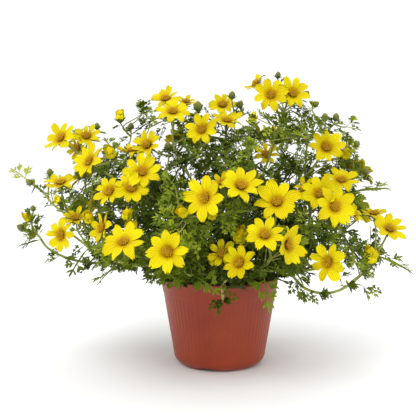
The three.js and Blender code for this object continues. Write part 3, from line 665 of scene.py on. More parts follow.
def petals_of(head, spin):
    """The petals of a bloom: where each points, its half width, and its bend and tip as (out, height)."""
    count = 7 if head.width < 31 else 8
    cup = between(8, 30, head.key, 2)
    petals = []
    for k in range(count):
        long = (head.width / 2 - DISC_RADIUS) * between(0.9, 1.06, head.key, 4, k)
        lift = math.radians(cup + between(-9, 9, head.key, 6, k))
        bend = lift + math.radians(between(-26, -4, head.key, 7, k))
        near, far = long * PETAL_BEND, long * (1 - PETAL_BEND)
        middle = np.array([DISC_RADIUS + near * math.cos(lift), PETAL_RISE + near * math.sin(lift)])
        petals.append(SimpleNamespace(
            turn=spin + k * 360 / count + between(-3, 3, head.key, 3, k),
            half=long * between(0.25, 0.31, head.key, 5, k),
            middle=middle, tip=middle + far * np.array([math.cos(bend), math.sin(bend)]),
        ))
    return petals


def head_axes(head):
    """A flower head's own directions: two across it, and the way it faces."""
    across = across_of(head.face, 0.05)
    return across, np.cross(head.face, across), head.face


def spread_bloom(head):
    """The petals of a bloom as its solid has them turned, and the node that it belongs to."""
    axes = head_axes(head)
    best = (0, None, None)
    for turn in range(0, 42, 6):
        petals = petals_of(head, between(0, 45, head.key, 1) + turn)
        ridges = []
        for petal in petals:
            out, height = petal.middle
            outward = around(axes, math.radians(petal.turn))
            ridges.append(head.at + outward * out + head.face * (SEAT + height + PETAL_THICKNESS))
        found = found_at(ridges, BLOOM_TREE)
        if len(found) > best[0]:
            best = (len(found), petals, BLOOM_CORNERS[found[0]])
    head.petals, head.node = best[1:]


STEMS = [with_places(stem, seen, seen_head, LEAF_LENGTH) for stem in SEEN_STEMS]
STEMS += [with_places(stem, about, back_head, BACK_LEAF_LENGTH) for stem in BACK_STEMS]
for number, stem in enumerate(STEMS):
    for k, head in enumerate(stem.heads):
        head.key = (number + 1) * 20 + k
    stem.shoots = [grow_main(stem)]
for stem in STEMS:
    for branch in stem.branches[1:]:
        stem.shoots.append(grow_branch(stem, branch))
for stem in STEMS:
    rest = [head for branch in stem.branches for head in branch.heads[1:]]
    for head in sorted(rest, key=lambda head: np.linalg.norm(head.at - stem.base)):
        stem.shoots.append(grow_side(stem, head))
BLOOMS = [head for stem in STEMS for head in stem.heads if head.kind == "bloom"]
for bloom in BLOOMS:
    spread_bloom(bloom)


# Meshes. A stem's piece has these looks, in this order, and a bloom's has its petals' and its disc's.
LOOKS_STEM, LOOKS_LEAF, LOOKS_BUD, LOOKS_PETAL = range(4)
LOOKS_BLOOM_PETAL, LOOKS_BLOOM_DISC = range(2)


class Shape:
    """Points and triangles gathered into one mesh. Each point has a tone, and its place along and aside."""

    def __init__(self):
        self.count = 0
        self.points, self.faces, self.looks = [], [], []
        self.values = {"tone": [], "along": [], "aside": []}

    def add(self, points, faces, look=0, tone=0.5, along=0.5, aside=0.0):
        points = np.asarray(points, float).reshape(-1, 3)
        faces = np.asarray(faces, int).reshape(-1, 3)
        self.points.append(points)
        self.faces.append(faces + self.count)
        self.looks.append(np.full(len(faces), look))
        for name, value in (("tone", tone), ("along", along), ("aside", aside)):
            self.values[name].append(np.broadcast_to(np.asarray(value, float).ravel(), len(points)))
        self.count += len(points)


def make_piece(name, shape, materials, nodes, crease=50):
    """A shown piece in the place of its nodes. Edges bent by more than crease degrees stay sharp."""
    mesh = bpy.data.meshes.new(name)
    points = np.concatenate(shape.points) * METRES
    faces = np.concatenate(shape.faces)
    mesh.vertices.add(len(points))
    mesh.vertices.foreach_set("co", points.astype(np.float32).ravel())
    mesh.loops.add(faces.size)
    mesh.loops.foreach_set("vertex_index", faces.astype(np.int32).ravel())
    mesh.polygons.add(len(faces))
    mesh.polygons.foreach_set("loop_start", np.arange(0, faces.size, 3, dtype=np.int32))
    mesh.polygons.foreach_set("material_index", np.concatenate(shape.looks).astype(np.int32))
    for material in materials:
        mesh.materials.append(material)
    for value_name, parts in shape.values.items():
        layer = mesh.attributes.new(value_name, "FLOAT", "POINT")
        layer.data.foreach_set("value", np.concatenate(parts).astype(np.float32))
    mesh.update(calc_edges=True)
    mesh.validate()
    mesh.shade_smooth()
    mesh.set_sharp_from_angle(angle=math.radians(crease))
    piece = bpy.data.objects.new(name, mesh)
    bpy.context.scene.collection.objects.link(piece)
    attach(piece, "root")
    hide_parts(*nodes)
    return piece


def grid_faces(rows, columns, closed=False):
    """Triangles of a grid of points, row by row. A closed one joins its last column to its first."""
    spans = columns if closed else columns - 1
    row, column = np.divmod(np.arange((rows - 1) * spans), spans)
    after = (column + 1) % columns
    a, b = row * columns + column, row * columns + after
    return np.concatenate([np.stack([a, b, b + columns], 1), np.stack([a, b + columns, a + columns], 1)])


def tube_faces(rings, sides):
    """Triangles of a closed tube: its rings of points, and then the middles of its two ends."""
    ring = np.arange(sides)
    after = (ring + 1) % sides
    first, last = np.full(sides, rings * sides), np.full(sides, rings * sides + 1)
    end = (rings - 1) * sides
    return np.concatenate([
        grid_faces(rings, sides, closed=True),
        np.stack([first, after, ring], 1), np.stack([last, end + ring, end + after], 1),
    ])


def add_rings(shape, rings, first, last, look, tone, along):
    """A closed tube of rings of points, with the middles of its ends and a place along it for each ring."""
    count, sides = len(rings), len(rings[0])
    points = np.concatenate([*rings, [first], [last]])
    places = np.concatenate([np.repeat(along, sides), [along[0], along[-1]]])
    shape.add(points, tube_faces(count, sides), look, tone, places)


def smooth_path(points, radii, per_span):
    """More points on the curve through the points, with a radius for each."""
    shares = np.linspace(0, 1, (len(points) - 1) * per_span + 1)
    reach = shares * (len(points) - 1)
    return on_curve(points, shares), np.interp(reach, np.arange(len(points)), radii)


def add_tube(shape, centres, radii, sides, look, tone):
    """A closed tube through the centres."""
    centres = np.asarray(centres, float)
    ways = np.gradient(centres, axis=0)
    side = ACROSS if abs(unit(ways[0])[2]) > 0.9 else UP
    angles = np.arange(sides) * 2 * math.pi / sides
    rings = []
    for centre, way, radius in zip(centres, ways, radii):
        way = unit(way)
        side = unit(side - way * (side @ way))
        other = np.cross(way, side)
        rings.append(centre + radius * (np.outer(np.cos(angles), side) + np.outer(np.sin(angles), other)))
    add_rings(shape, rings, centres[0], centres[-1], look, tone, np.linspace(0, 1, len(rings)))


BUD_RIBS = 8


def add_revolved(shape, at, axes, profile, sides, look=0, tone=0.5, along=None, ribs=0.0):
    """A body of revolution about a head's face, through (height, radius) pairs. Ribs swell it in eight."""
    across, aloft, face = axes
    angles = np.arange(sides) * 2 * math.pi / sides
    swell = 1 + ribs * np.cos(angles * BUD_RIBS)
    out = np.outer(np.cos(angles), across) + np.outer(np.sin(angles), aloft)
    heights, radii = np.array(profile, float).T
    rings = at + heights[:, None, None] * face + radii[:, None, None] * swell[:, None] * out
    if along is None:
        along = np.linspace(0, 1, len(rings))
    add_rings(shape, rings, at + face * heights[0], at + face * heights[-1], look, tone, along)


# Blades: a lobe of a leaf or a bract is a thin closed lens with a raised middle
BLADE_OUTLINE = np.array([(0, 0), (0.34, -0.46), (0.78, -0.5), (1, 0), (0.78, 0.5), (0.34, 0.46)])
BLADE_MIDDLE = 6
BLADE_UPPER = [(i, (i + 1) % 6, BLADE_MIDDLE) for i in range(6)]
BLADE_FACES = np.array(BLADE_UPPER + [(0, 2, 1), (0, 3, 2), (0, 5, 3), (3, 5, 4)])
BLADE_RISE = 0.22


def blade(x, y, angle, length, width, curl=0.0):
    """The points of a blade in the plane of its leaf, from (x, y) at an angle."""
    a, b = BLADE_OUTLINE[:, 0] * length, BLADE_OUTLINE[:, 1] * width
    a, b = np.append(a, 0.5 * length), np.append(b, 0)
    z = curl * a**2 / length
    z[BLADE_MIDDLE] += BLADE_RISE * width
    cos, sin = math.cos(angle), math.sin(angle)
    return np.stack([x + a * cos - b * sin, y + a * sin + b * cos, z], 1)


class Template:
    """A leaf of unit length: its rib along x, its lobes aside in y, and its rise in z."""

    def __init__(self, blades):
        self.points = np.concatenate(blades)
        self.faces = np.concatenate([BLADE_FACES + len(blades[0]) * i for i in range(len(blades))])


# How far a leaflet is folded up from its leaf's plane, in radians
LEAF_FOLD = (-0.15, 0.85)


def leaf_template(pairs, lobes, breadth, seed):
    """A leaf cut to its rib, with that many pairs of side leaflets, each with so many pairs of lobes.
    Breadth is how wide a lobe is for the length of its leaflet."""
    rng = np.random.default_rng(seed)
    start, end = LEAF_LOBED
    step = (end - start) / pairs
    blades = [blade(0, 0, 0, 1.02, 0.034)]
    for i in range(pairs):
        middle = start + step * (i + 0.5)
        reach = LEAF_REACH[0] - LEAF_REACH[1] * i
        for side in (-1, 1):
            x = middle - 0.02 + rng.uniform(-0.02, 0.02)
            angle = side * (math.atan2(1, 0.75) + rng.uniform(-0.12, 0.12))
            long = 1.25 * reach * rng.uniform(0.9, 1.05)
            curl = rng.uniform(-0.25, 0.3)
            leaflet = [blade(x, 0, angle, long, 0.88 * breadth * long, curl)]
            for k in range(lobes):
                spot = long * (0.3 + 0.5 * k / lobes)
                for lobe_side in (-1, 1):
                    lobe_angle = angle + lobe_side * rng.uniform(0.55, 0.8)
                    lobe_long = long * (0.46 - 0.2 * k / lobes) * rng.uniform(0.85, 1.15)
                    lobe = blade(
                        x + spot * math.cos(angle), spot * math.sin(angle), lobe_angle, lobe_long,
                        breadth * long, rng.uniform(-0.3, 0.4),
                    )
                    lobe[:, 2] += curl * spot**2 / long
                    leaflet.append(lobe)
            fold = rng.uniform(*LEAF_FOLD)
            for points in leaflet:
                points[:, 2] += np.abs(points[:, 1]) * math.sin(fold)
                points[:, 1] *= math.cos(fold)
            blades += leaflet
    blades.append(blade(0.8, 0, rng.uniform(-0.06, 0.06), LEAF_TIP - 0.8, 0.4 * breadth))
    for side in (-1, 1):
        blades.append(blade(0.87, 0, side * 0.7, 0.2, 0.36 * breadth, rng.uniform(-0.2, 0.3)))
    return Template(blades)


def tuft_template(seed):
    """A small simple leaf of three to five narrow lobes, as at a shoot's tip."""
    rng = np.random.default_rng(seed)
    blades = [blade(0, 0, 0, 1, 0.2, rng.uniform(-0.1, 0.2))]
    for spot in (0.3, 0.55):
        for side in (-1, 1):
            blades.append(blade(spot, 0, side * rng.uniform(0.55, 0.85), 0.5 - 0.2 * spot, 0.18, 0.1))
    return Template(blades)


VARIANTS = 4
TEMPLATES = {
    "large": [leaf_template(3, 3, 0.1, 100 + i) for i in range(VARIANTS)],
    "medium": [leaf_template(2, 2, 0.15, 200 + i) for i in range(VARIANTS)],
    "small": [leaf_template(2, 1, 0.24, 300 + i) for i in range(VARIANTS)],
    "tiny": [tuft_template(400 + i) for i in range(VARIANTS)],
}


def add_leaves(shape, leaves):
    """All leaves of a list, template by template."""
    for kind, variants in TEMPLATES.items():
        for variant, template in enumerate(variants):
            mine = [leaf for leaf in leaves if leaf.kind == kind and leaf.variant == variant]
            if not mine:
                continue
            at, way, flat, top, bend = (
                np.array([getattr(leaf, name) for leaf in mine])[:, None, :]
                for name in ("at", "way", "flat", "top", "bend")
            )
            length, arch, fold, tone = (
                np.array([getattr(leaf, name) for leaf in mine])[:, None, None]
                for name in ("length", "arch", "fold", "tone")
            )
            x, y, z = (template.points[None, :, i, None] for i in range(3))
            rise = z + fold * np.abs(y)
            points = at + length * (way * x + flat * y + top * rise + bend * arch * x**2)
            count = template.points.shape[0]
            faces = template.faces[None] + count * np.arange(len(mine))[:, None, None]
            tones = np.repeat(tone.ravel(), count)
            along = np.tile(template.points[:, 0], len(mine))
            aside = np.tile(np.abs(template.points[:, 1]), len(mine))
            shape.add(points.reshape(-1, 3), faces.reshape(-1, 3), LOOKS_LEAF, tones, along, aside)


# Flower heads
PETAL_ROWS = np.array([0, 0.1, 0.24, 0.4, 0.56, 0.72, 0.86, 1])
PETAL_COLUMNS = np.array([-1, -0.78, -0.52, -0.3, 0, 0.3, 0.52, 0.78, 1])
PETAL_WIDTHS = ([0, 0.12, 0.3, 0.5, 0.68, 0.84, 1], [0.46, 0.64, 0.88, 1.06, 1.1, 0.98, 0.66])
PETAL_SHEET = 0.34
PETAL_GROOVE = 0.6
PETAL_KNEE = 0.56
GROOVE_ASIDE = 0.3


def add_petal(shape, at, axes, petal, key, look):
    """A petal as a thin closed sheet: grooved along, cupped, toothed or notched at its blunt tip."""
    rng = np.random.default_rng(key)
    face = axes[2]
    u, v = np.meshgrid(PETAL_ROWS, PETAL_COLUMNS, indexing="ij")
    notch = rng.choice([0.1, 0.2]) * np.exp(-(((np.abs(v) - rng.choice([0, GROOVE_ASIDE])) / 0.15) ** 2))
    reach = u * (1.06 - 0.2 * np.abs(v) ** 2 - notch * u**2) * rng.uniform(0.93, 1.02)
    lift, sway = rng.uniform(-1, 1), rng.uniform(-0.3, 0.3)
    root = petal.root
    middle = petal.middle + [0, PETAL_THICKNESS / 2 + 0.4 * lift]
    tip = petal.tip + [0, 0.3 + 3.2 * lift]
    near = (reach - PETAL_KNEE) * (reach - 1) / PETAL_KNEE
    mid = reach * (1 - reach) / (PETAL_KNEE * (1 - PETAL_KNEE))
    far = reach * (reach - PETAL_KNEE) / (1 - PETAL_KNEE)
    out = root[0] * near + middle[0] * mid + tip[0] * far
    height = root[1] * near + middle[1] * mid + tip[1] * far
    half = petal.half * np.interp(u, *PETAL_WIDTHS) * rng.uniform(0.9, 1.1)
    cup, twist, wave = rng.uniform(-0.3, 0.5), rng.uniform(-0.6, 0.6), rng.uniform(0, 6.3)
    in_groove = np.abs(np.abs(v) - GROOVE_ASIDE) < 0.01
    groove = np.where(in_groove, PETAL_GROOVE, 0) * np.interp(u, [0, 0.2, 1], [0.3, 1, 0.8])
    height = height + petal.half * (cup * v**2 + twist * v) * u - groove + 0.6 * np.sin(2.6 * v + wave) * u**3
    angle = math.radians(petal.turn)
    sideways = -axes[0] * math.sin(angle) + axes[1] * math.cos(angle)
    aside = half * v + petal.half * sway * u**2
    flat = at + out[..., None] * around(axes, angle) + aside[..., None] * sideways
    top = flat + (SEAT + height[..., None]) * face
    sheet = PETAL_SHEET * (1 - 0.55 * np.abs(v) ** 3) * (1 - 0.4 * u)
    bottom = top - sheet[..., None] * face
    rows, columns = u.shape
    count = rows * columns
    grid = grid_faces(rows, columns)
    index = np.arange(count).reshape(rows, columns)
    rim = np.concatenate([index[0, :-1], index[:-1, -1], index[-1, :0:-1], index[:0:-1, 0]])
    after = np.roll(rim, -1)
    faces = np.concatenate([
        grid, grid[:, ::-1] + count,
        np.stack([rim, after + count, after], 1), np.stack([rim, rim + count, after + count], 1),
    ])
    points = np.concatenate([top.reshape(-1, 3), bottom.reshape(-1, 3)])
    if petal_turned(points, grid, face):
        faces = faces[:, ::-1]
    shape.add(points, faces, look, rng.uniform(0, 1), np.tile(u.ravel(), 2), np.tile(v.ravel(), 2))


def petal_turned(points, grid, face):
    """Whether the first triangle of the upper side looks away from the way that the head faces."""
    a, b, c = points[grid[0]]
    return np.cross(b - a, c - a) @ face < 0


DISC_SPREAD = 3.9
FLORETS = 54
GOLDEN_TURN = math.pi * (3 - math.sqrt(5))
SQUARE = [(k, (k + 1) % 4) for k in range(4)]
FLORET_FACES = [(a, b, 4 + b) for a, b in SQUARE] + [(a, 4 + b, 4 + a) for a, b in SQUARE]
FLORET_FACES += [(4 + a, 4 + b, 8) for a, b in SQUARE] + [(b, a, 9) for a, b in SQUARE]


def add_disc(shape, at, axes, rim, key, look):
    """The domed disc: a low body under a spiral of small florets, the outer ones open and longer."""
    rng = np.random.default_rng(key)
    face = axes[2]
    body = [(0.2, 2.2), (rim * 0.55, 3.7), (rim + 0.1, 3.4), (rim + 0.9, 2.2), (rim + 1.2, 0.4)]
    add_revolved(shape, at, axes, body, 10, look, 0.2, np.full(len(body), 0.1))
    for i in range(FLORETS):
        share = math.sqrt((i + 0.5) / FLORETS)
        out = DISC_SPREAD * share
        outward = around(axes, i * GOLDEN_TURN)
        sideways = np.cross(face, outward)
        way = unit(face + outward * 0.45 * share + rng.normal(0, 0.09, 3))
        foot = at + (outward * out + face * (rim - 0.5 + 1.5 * (1 - share**2)))
        tall = (0.9 + share**2) * rng.uniform(0.85, 1.25)
        wide = rng.uniform(0.4, 0.55)
        ring = [outward, sideways, -outward, -sideways]
        points = [foot + side * wide * 0.7 for side in ring]
        points += [foot + way * tall * 0.72 + side * wide for side in ring]
        points += [foot + way * tall, foot]
        along = [0.15] * 4 + [0.4 + 0.5 * share] * 4 + [0.45 + 0.55 * share, 0.1]
        shape.add(points, FLORET_FACES, look, rng.uniform(0, 1), along)


def add_blade(shape, at, way, top, length, width, look, tone, curl=0.0, along=0.5):
    """One bract or simple lobe, with its upper side towards top."""
    flat, top = leaf_frame(way, top)
    x, y, z = blade(0, 0, 0, length, width, curl).T
    points = at + np.outer(x, way) + np.outer(y, flat) + np.outer(z, top)
    shape.add(points, BLADE_FACES, look, tone, along)


# Seeds that keep the draws of cups, buds, discs and leaves apart
CUP_SEED, BUD_SEED, DISC_SEED, SHOOT_SEED = 7000, 9000, 3000, 500
BRACTS = 8
# The outline of a cup as (height, radius), and its rows of bracts as (height, out, rise, length, width)
CUP_OUTLINE = [
    (-6.0, 0.7), (-CUP_DEPTH, 1.1), (-2.4, 2.0), (-1.0, CUP_RADIUS + 0.2), (0.3, CUP_RADIUS + 0.5),
    (0.9, 1.6),
]
CUP_BRACTS = [(-1.6, 2.2, 0.9, 5.2, 2.3), (-2.7, 1.6, -0.05, 6.0, 1.2)]
INNER_BRACT_RISE = 0.42


def add_cup(shape, head):
    """What holds a bloom: the swollen stalk end, a cup of inner bracts and a spreading row of outer ones."""
    axes = head_axes(head)
    face = head.face
    rng = np.random.default_rng(head.key + CUP_SEED)
    add_revolved(shape, head.at, axes, CUP_OUTLINE, 10, LOOKS_BUD, 0.4, [0, 0.1, 0.25, 0.4, 0.45, 0.45])
    for row, (height, out, rise, length, width) in enumerate(CUP_BRACTS):
        for k in range(BRACTS):
            outward = around(axes, (k + 0.5 * row) * math.pi / 4 + rng.uniform(-0.1, 0.1))
            way = unit(outward + face * (rise + rng.uniform(-0.15, 0.25)))
            if row == 0:
                way = unit(outward + face * INNER_BRACT_RISE)
            at = head.at + face * height + outward * out
            long, tone = length * rng.uniform(0.9, 1.1), rng.uniform(0, 1)
            add_blade(shape, at, way, face, long, width, LOOKS_BUD, tone, along=0.3)


BUD_SIDES = 24
BUD_OUTLINE = ([0, 0.12, 0.28, 0.45, 0.62, 0.8, 0.93, 1], [0.3, 0.72, 0.97, 1, 0.9, 0.62, 0.34, 0.12])


def add_bud(shape, head):
    """A ribbed green bud that turns yellow towards its tip as it opens, with a row of outer bracts."""
    axes = head_axes(head)
    face = head.face
    rng = np.random.default_rng(head.key + BUD_SEED)
    low, high = -head.width * BUD_LENGTH[0], head.width * BUD_LENGTH[1]
    shares = np.linspace(0, 1, 11)
    heights = low + (high - low) * shares
    opening = head.kind == "opening"
    radii = head.width / 2 * np.interp(shares, *BUD_OUTLINE)
    if not opening:
        heights = low + (high - low) * shares * 0.86
    split = 4 if opening else 11
    body, places = list(zip(heights[:split], radii[:split])), np.linspace(0, 0.4 if opening else 0.75, split)
    tone = rng.uniform(0.3, 0.9)
    add_revolved(shape, head.at, axes, body, BUD_SIDES, LOOKS_BUD, tone, places, ribs=0.05)
    if opening:
        petals = [(h, r * 0.96) for h, r in zip(heights[2:], radii[2:])]
        places, tone = np.linspace(0.5, 0.16, len(petals)), rng.uniform(0, 1)
        add_revolved(shape, head.at, axes, petals, BUD_SIDES, LOOKS_PETAL, tone, places, ribs=0.11)
        add_opening_petals(shape, head, axes, rng)
    for k in range(BRACTS):
        outward = around(axes, k * 2 * math.pi / BRACTS + rng.uniform(-0.15, 0.15))
        way = unit(outward * rng.uniform(0.8, 1.2) + face * rng.uniform(-0.1, 0.6))
        at = head.at + face * low * 0.75 + outward * head.width * 0.24
        length = max(4.4, head.width * rng.uniform(0.62, 0.8))
        width, tone = max(1.3, length * 0.26), rng.uniform(0, 1)
        add_blade(shape, at, way, face, length, width, LOOKS_BUD, tone, curl=0.25, along=0.2)


def add_opening_petals(shape, head, axes, rng):
    """The petals of an opening bud, still upright and curved in at their tips."""
    long = head.width * 0.85
    for k in range(6):
        lift, bend = math.radians(rng.uniform(66, 78)), math.radians(rng.uniform(84, 104))
        base = np.array([head.width * 0.3, -head.width * 0.12])
        middle = base + long * PETAL_KNEE * np.array([math.cos(lift), math.sin(lift)])
        petal = SimpleNamespace(
            turn=60 * k + rng.uniform(-8, 8), half=head.width * 0.27,
            middle=middle, root=base * [0.6, 1.6],
            tip=middle + long * 0.44 * np.array([math.cos(bend), math.sin(bend)]),
        )
        add_petal(shape, head.at, axes, petal, head.key * 31 + k, LOOKS_PETAL)


# Where fine leaves and twigs may stand
DOME_CENTRE = np.array([-8.0, 5.0, 108.0])
DOME_HALF = (205, 165, 185)
HEAD_AT = np.array([bloom.at for bloom in BLOOMS])
HEAD_FACE = np.array([bloom.face for bloom in BLOOMS])
HEAD_HALF = np.array([bloom.width / 2 for bloom in BLOOMS])
HEAD_ACROSS, HEAD_DOWN = in_picture(HEAD_AT)
HEAD_SEEN = HEAD_HALF * EYE_FOCUS / (HEAD_AT[:, 1] - EYE[1])
SHOWN_HEADS = np.array([bloom.key < (len(SEEN_STEMS) + 1) * 20 for bloom in BLOOMS])
PART_LOW, PART_HIGH = (np.array(corner) / METRES for corner in CAD_BOUNDS)
MARGIN = 4

# The outline of the dense foliage in the front view, as [across, down], and the wider gaps of sky in it, as
# [across, down, radius].
FOLIAGE = np.array([
    [100, 150], [109, 138], [124, 136], [140, 122], [140, 106], [151, 104], [160, 120], [192, 110],
    [206, 104], [214, 118], [232, 118], [252, 98], [275, 92], [305, 98], [311, 110], [309, 128],
    [320, 138], [345, 120], [355, 126], [354, 150], [368, 170], [362, 198], [372, 216], [380, 236],
    [392, 260], [378, 273], [352, 276], [340, 262], [318, 260], [300, 276], [262, 284], [240, 286],
    [226, 296], [196, 290], [160, 285], [118, 274], [96, 262], [82, 246], [66, 228], [58, 208],
    [36, 197], [46, 187], [74, 186], [86, 176], [92, 164],
], float)
GAPS = np.array([
    [172, 134, 10], [166, 158, 6], [293, 152, 7], [92, 208, 7], [240, 147, 6], [356, 231, 7], [326, 274, 15],
    [64, 201, 5], [76, 222, 5], [152, 133, 7], [203, 139, 5], [262, 175, 4], [318, 160, 5], [100, 236, 4],
], float)


def inside_outline(x, y, outline):
    """Whether points (x, y) lie inside a closed outline."""
    inside = np.zeros(np.shape(x), bool)
    for (x1, y1), (x2, y2) in zip(outline, np.roll(outline, -1, axis=0)):
        crosses = (y1 > y) != (y2 > y)
        if y1 != y2:
            inside ^= crosses & (x < x1 + (y - y1) * (x2 - x1) / (y2 - y1))
    return inside


def clear_of_heads(points, before=24, widen=1.0):
    """Whether no point stands in front of a bloom's petals, as it faces or as the front view shows it."""
    away = points[:, None] - HEAD_AT
    height = np.einsum("phi,hi->ph", away, HEAD_FACE)
    out = np.sqrt(np.maximum(0, (away**2).sum(-1) - height**2))
    if ((height > -1.5) & (height < before) & (out < HEAD_HALF * widen)).any():
        return False
    across, down = in_picture(points)
    apart = np.hypot(across[:, None] - HEAD_ACROSS, down[:, None] - HEAD_DOWN)
    nearer = points[:, None, 1] < HEAD_AT[:, 1] + 3
    return not (SHOWN_HEADS & nearer & (apart < HEAD_SEEN * 0.86 * widen)).any()


def clear_of_pot(points):
    out = np.hypot(points[:, 0], points[:, 1])
    wall = wall_radius(points[:, 2])
    in_wall = (out > wall - WALL - 1.5) & (out < wall + 1.6) & (points[:, 2] < POT_HEIGHT + 1)
    in_soil = (out <= wall) & (points[:, 2] < SOIL_TOP + SOIL_CROWN + 1)
    return not (in_wall | in_soil).any()


def in_part(points):
    within = (points > PART_LOW - MARGIN) & (points < PART_HIGH + MARGIN)
    return within.all() and points[:, 2].min() > 1


def in_foliage(points):
    """Whether all points show inside the outline of the dense foliage."""
    return inside_outline(*in_picture(points), FOLIAGE).all()


def clear_of_gaps(points):
    across, down = in_picture(points)
    return not (np.hypot(across[:, None] - GAPS[:, 0], down[:, None] - GAPS[:, 1]) < GAPS[:, 2]).any()


# Where a leaf is tested, as (along, aside) for its length: three places on its rib, and four on its lobes
LEAF_PROBES = np.array([
    (0.4, 0), (0.75, 0), (1.08, 0), (0.66, 0.34), (0.66, -0.34), (0.86, 0.26), (0.86, -0.26),
])


def kind_for(length):
    return "large" if length > 38 else "medium" if length > 24 else "small" if length > 13.5 else "tiny"


def leaf_tone_and_shade(at, rng):
    """How light a leaf is: leaves deeper inside the plant's dome are darker, as painted shade, with a random
    tone on top.
    """
    outer = np.linalg.norm((at - DOME_CENTRE) / DOME_HALF)
    return float(np.clip(outer * 0.85 - 0.12 + rng.normal(0, 0.2), 0, 1))


def make_leaf(at, way, top, length, rng):
    flat, top = leaf_frame(way, top)
    # Its tone holds painted shade: darker the deeper the leaf stands inside the plant.
    return SimpleNamespace(
        at=at, way=way, flat=flat, top=top, length=length, kind=kind_for(length),
        variant=int(rng.integers(VARIANTS)), fold=rng.uniform(-0.15, 0.35), tone=leaf_tone_and_shade(at, rng),
        arch=rng.uniform(0.08, 0.34), bend=unit(-UP - 0.6 * top),
    )


def probes_of(leaf):
    x, y = LEAF_PROBES[:, :1], LEAF_PROBES[:, 1:]
    side = 0.35 if leaf.kind == "tiny" else 1
    return leaf.at + leaf.length * (leaf.way * x + leaf.flat * y * side + leaf.bend * leaf.arch * x**2)


# The longest leaf that may stand outside the dense foliage
STRAY_LEAF = 17


def try_leaf(stem, at, along, away, length, rng, spread=(46, 74), dense=True):
    """Adds a leaf where it is clear of blooms and pot, or turned further round the shoot, or smaller."""
    outward = unit(at - DOME_CENTRE)
    for turn, size in ((0, 1), (50, 1), (-50, 0.9), (20, 0.62)):
        angle = math.radians(rng.uniform(*spread))
        side = spun(away, along, math.radians(turn))
        way = unit(along * math.cos(angle) + side * math.sin(angle) + rng.normal(0, 0.08, 3))
        top = unit(0.55 * UP + 0.8 * outward + rng.normal(0, 0.33, 3))
        leaf = make_leaf(at, way, top, length * size * rng.uniform(0.85, 1.15), rng)
        points = probes_of(leaf)
        rib = points[:3]
        if not (clear_of_heads(points) and clear_of_pot(points) and in_part(points) and clear_of_gaps(rib)):
            continue
        if (dense or leaf.length > STRAY_LEAF) and not in_foliage(rib):
            continue
        stem.leaves.append(leaf)
        return


def nodes_along(path, spacing, low, high, rng):
    """Places along a path between two shares of its length: (point, way, share, index)."""
    steps = np.linalg.norm(np.diff(path, axis=0), axis=1)
    run = np.concatenate([[0], np.cumsum(steps)])
    at, places = low * run[-1] + rng.uniform(0.2, 0.8) * spacing, []
    while at < high * run[-1]:
        i = min(int(np.searchsorted(run, at)) - 1, len(path) - 2)
        share, step = (at - run[i]) / max(steps[i], 1e-6), path[i + 1] - path[i]
        places.append((path[i] + step * share, unit(step), at / run[-1], len(places)))
        at += spacing * rng.uniform(0.8, 1.25)
    return places


def add_pairs(stem, path, spacing, low, high, lengths, rng, tufts=0.0, dense=True):
    """Pairs of leaves along a path, each turned a quarter from the one before, with tufts in their axils."""
    first = rng.uniform(0, 2 * math.pi)
    for at, along, share, index in nodes_along(path, spacing, low, high, rng):
        away = spun(across_of(along), along, first + index * math.pi / 2 + rng.uniform(-0.3, 0.3))
        length = mix(lengths, (share - low) / (high - low))
        bushy = rng.uniform() < tufts
        if not dense and not in_foliage(at[None]):
            if index % 2:
                continue
            length, bushy = rng.uniform(11, 19), rng.uniform() < 0.8
        for side in (away, -away):
            try_leaf(stem, at, along, side, length, rng, dense=dense)
            if bushy:
                for _ in range(2):
                    turned = spun(side, along, rng.uniform(-0.6, 0.6))
                    try_leaf(stem, at, along, turned, rng.uniform(9, 17), rng, spread=(18, 50), dense=dense)


def dress_shoot(stem, shoot):
    """The leaves of a shoot that the stem's solid has. The stalk right under a bloom stays bare."""
    rng = np.random.default_rng(shoot.head.key + SHOOT_SEED)
    path = shoot.fine[0]
    long = np.linalg.norm(np.diff(path, axis=0), axis=1).sum()
    bare = {"bloom": rng.uniform(24, 36), "opening": 12, "bud": 8, "tip": 0}[shoot.head.kind]
    high = 1 - bare / long
    if shoot.penalty == 0:
        add_pairs(stem, path, 17, 0.16, max(0.3, high), (42, 24), rng, tufts=0.55, dense=False)
    elif high > 0.12:
        add_pairs(stem, path, 14, 0.0, high, (26, 13), rng, tufts=0.15, dense=False)
    if shoot.head.kind == "tip":
        add_tip(stem, path[-1], unit(path[-1] - path[-4]), rng, dense=False)
    elif shoot.head.kind in ("bud", "opening"):
        at, along = path[-3], unit(path[-1] - path[-3])
        for side in (1, -1):
            away = side * side_of(along, shoot.head.key)
            try_leaf(stem, at, along, away, rng.uniform(9, 14), rng, dense=False)


TIP_LEAVES = 5


def add_tip(stem, at, along, rng, dense=True):
    """The tuft of young leaves at a shoot's tip."""
    for k in range(TIP_LEAVES):
        away = spun(across_of(along), along, k * 2.4)
        spot = at - along * 0.8 * k
        try_leaf(stem, spot, along, away, rng.uniform(8, 16), rng, spread=(12, 48), dense=dense)


# Twigs: the leafy shoots without a flower that fill the plant
TWIG_RADIUS = (0.75, 0.4)
TWIGS = 250
TWIG_SPACING = 11
TWIG_LENGTHS = (22, 70)
TWIG_SEED = 77


def twig_aims(rng):
    """Points through the plant's dome that show inside the outline of the dense foliage."""
    low, high = FOLIAGE.min(0), FOLIAGE.max(0)
    while True:
        behind = rng.uniform(-DOME_HALF[1], DOME_HALF[1])
        aim = seen(rng.uniform(low[0], high[0]), rng.uniform(low[1], high[1]), behind)
        share = np.linalg.norm((aim - DOME_CENTRE) / DOME_HALF)
        if share < 0.97 and in_foliage(aim[None]) and clear_of_gaps(aim[None]) and in_part(aim[None]):
            if np.hypot(aim[0], aim[1]) < RIM_RADIUS and aim[2] < POT_HEIGHT + 8:
                continue
            yield aim


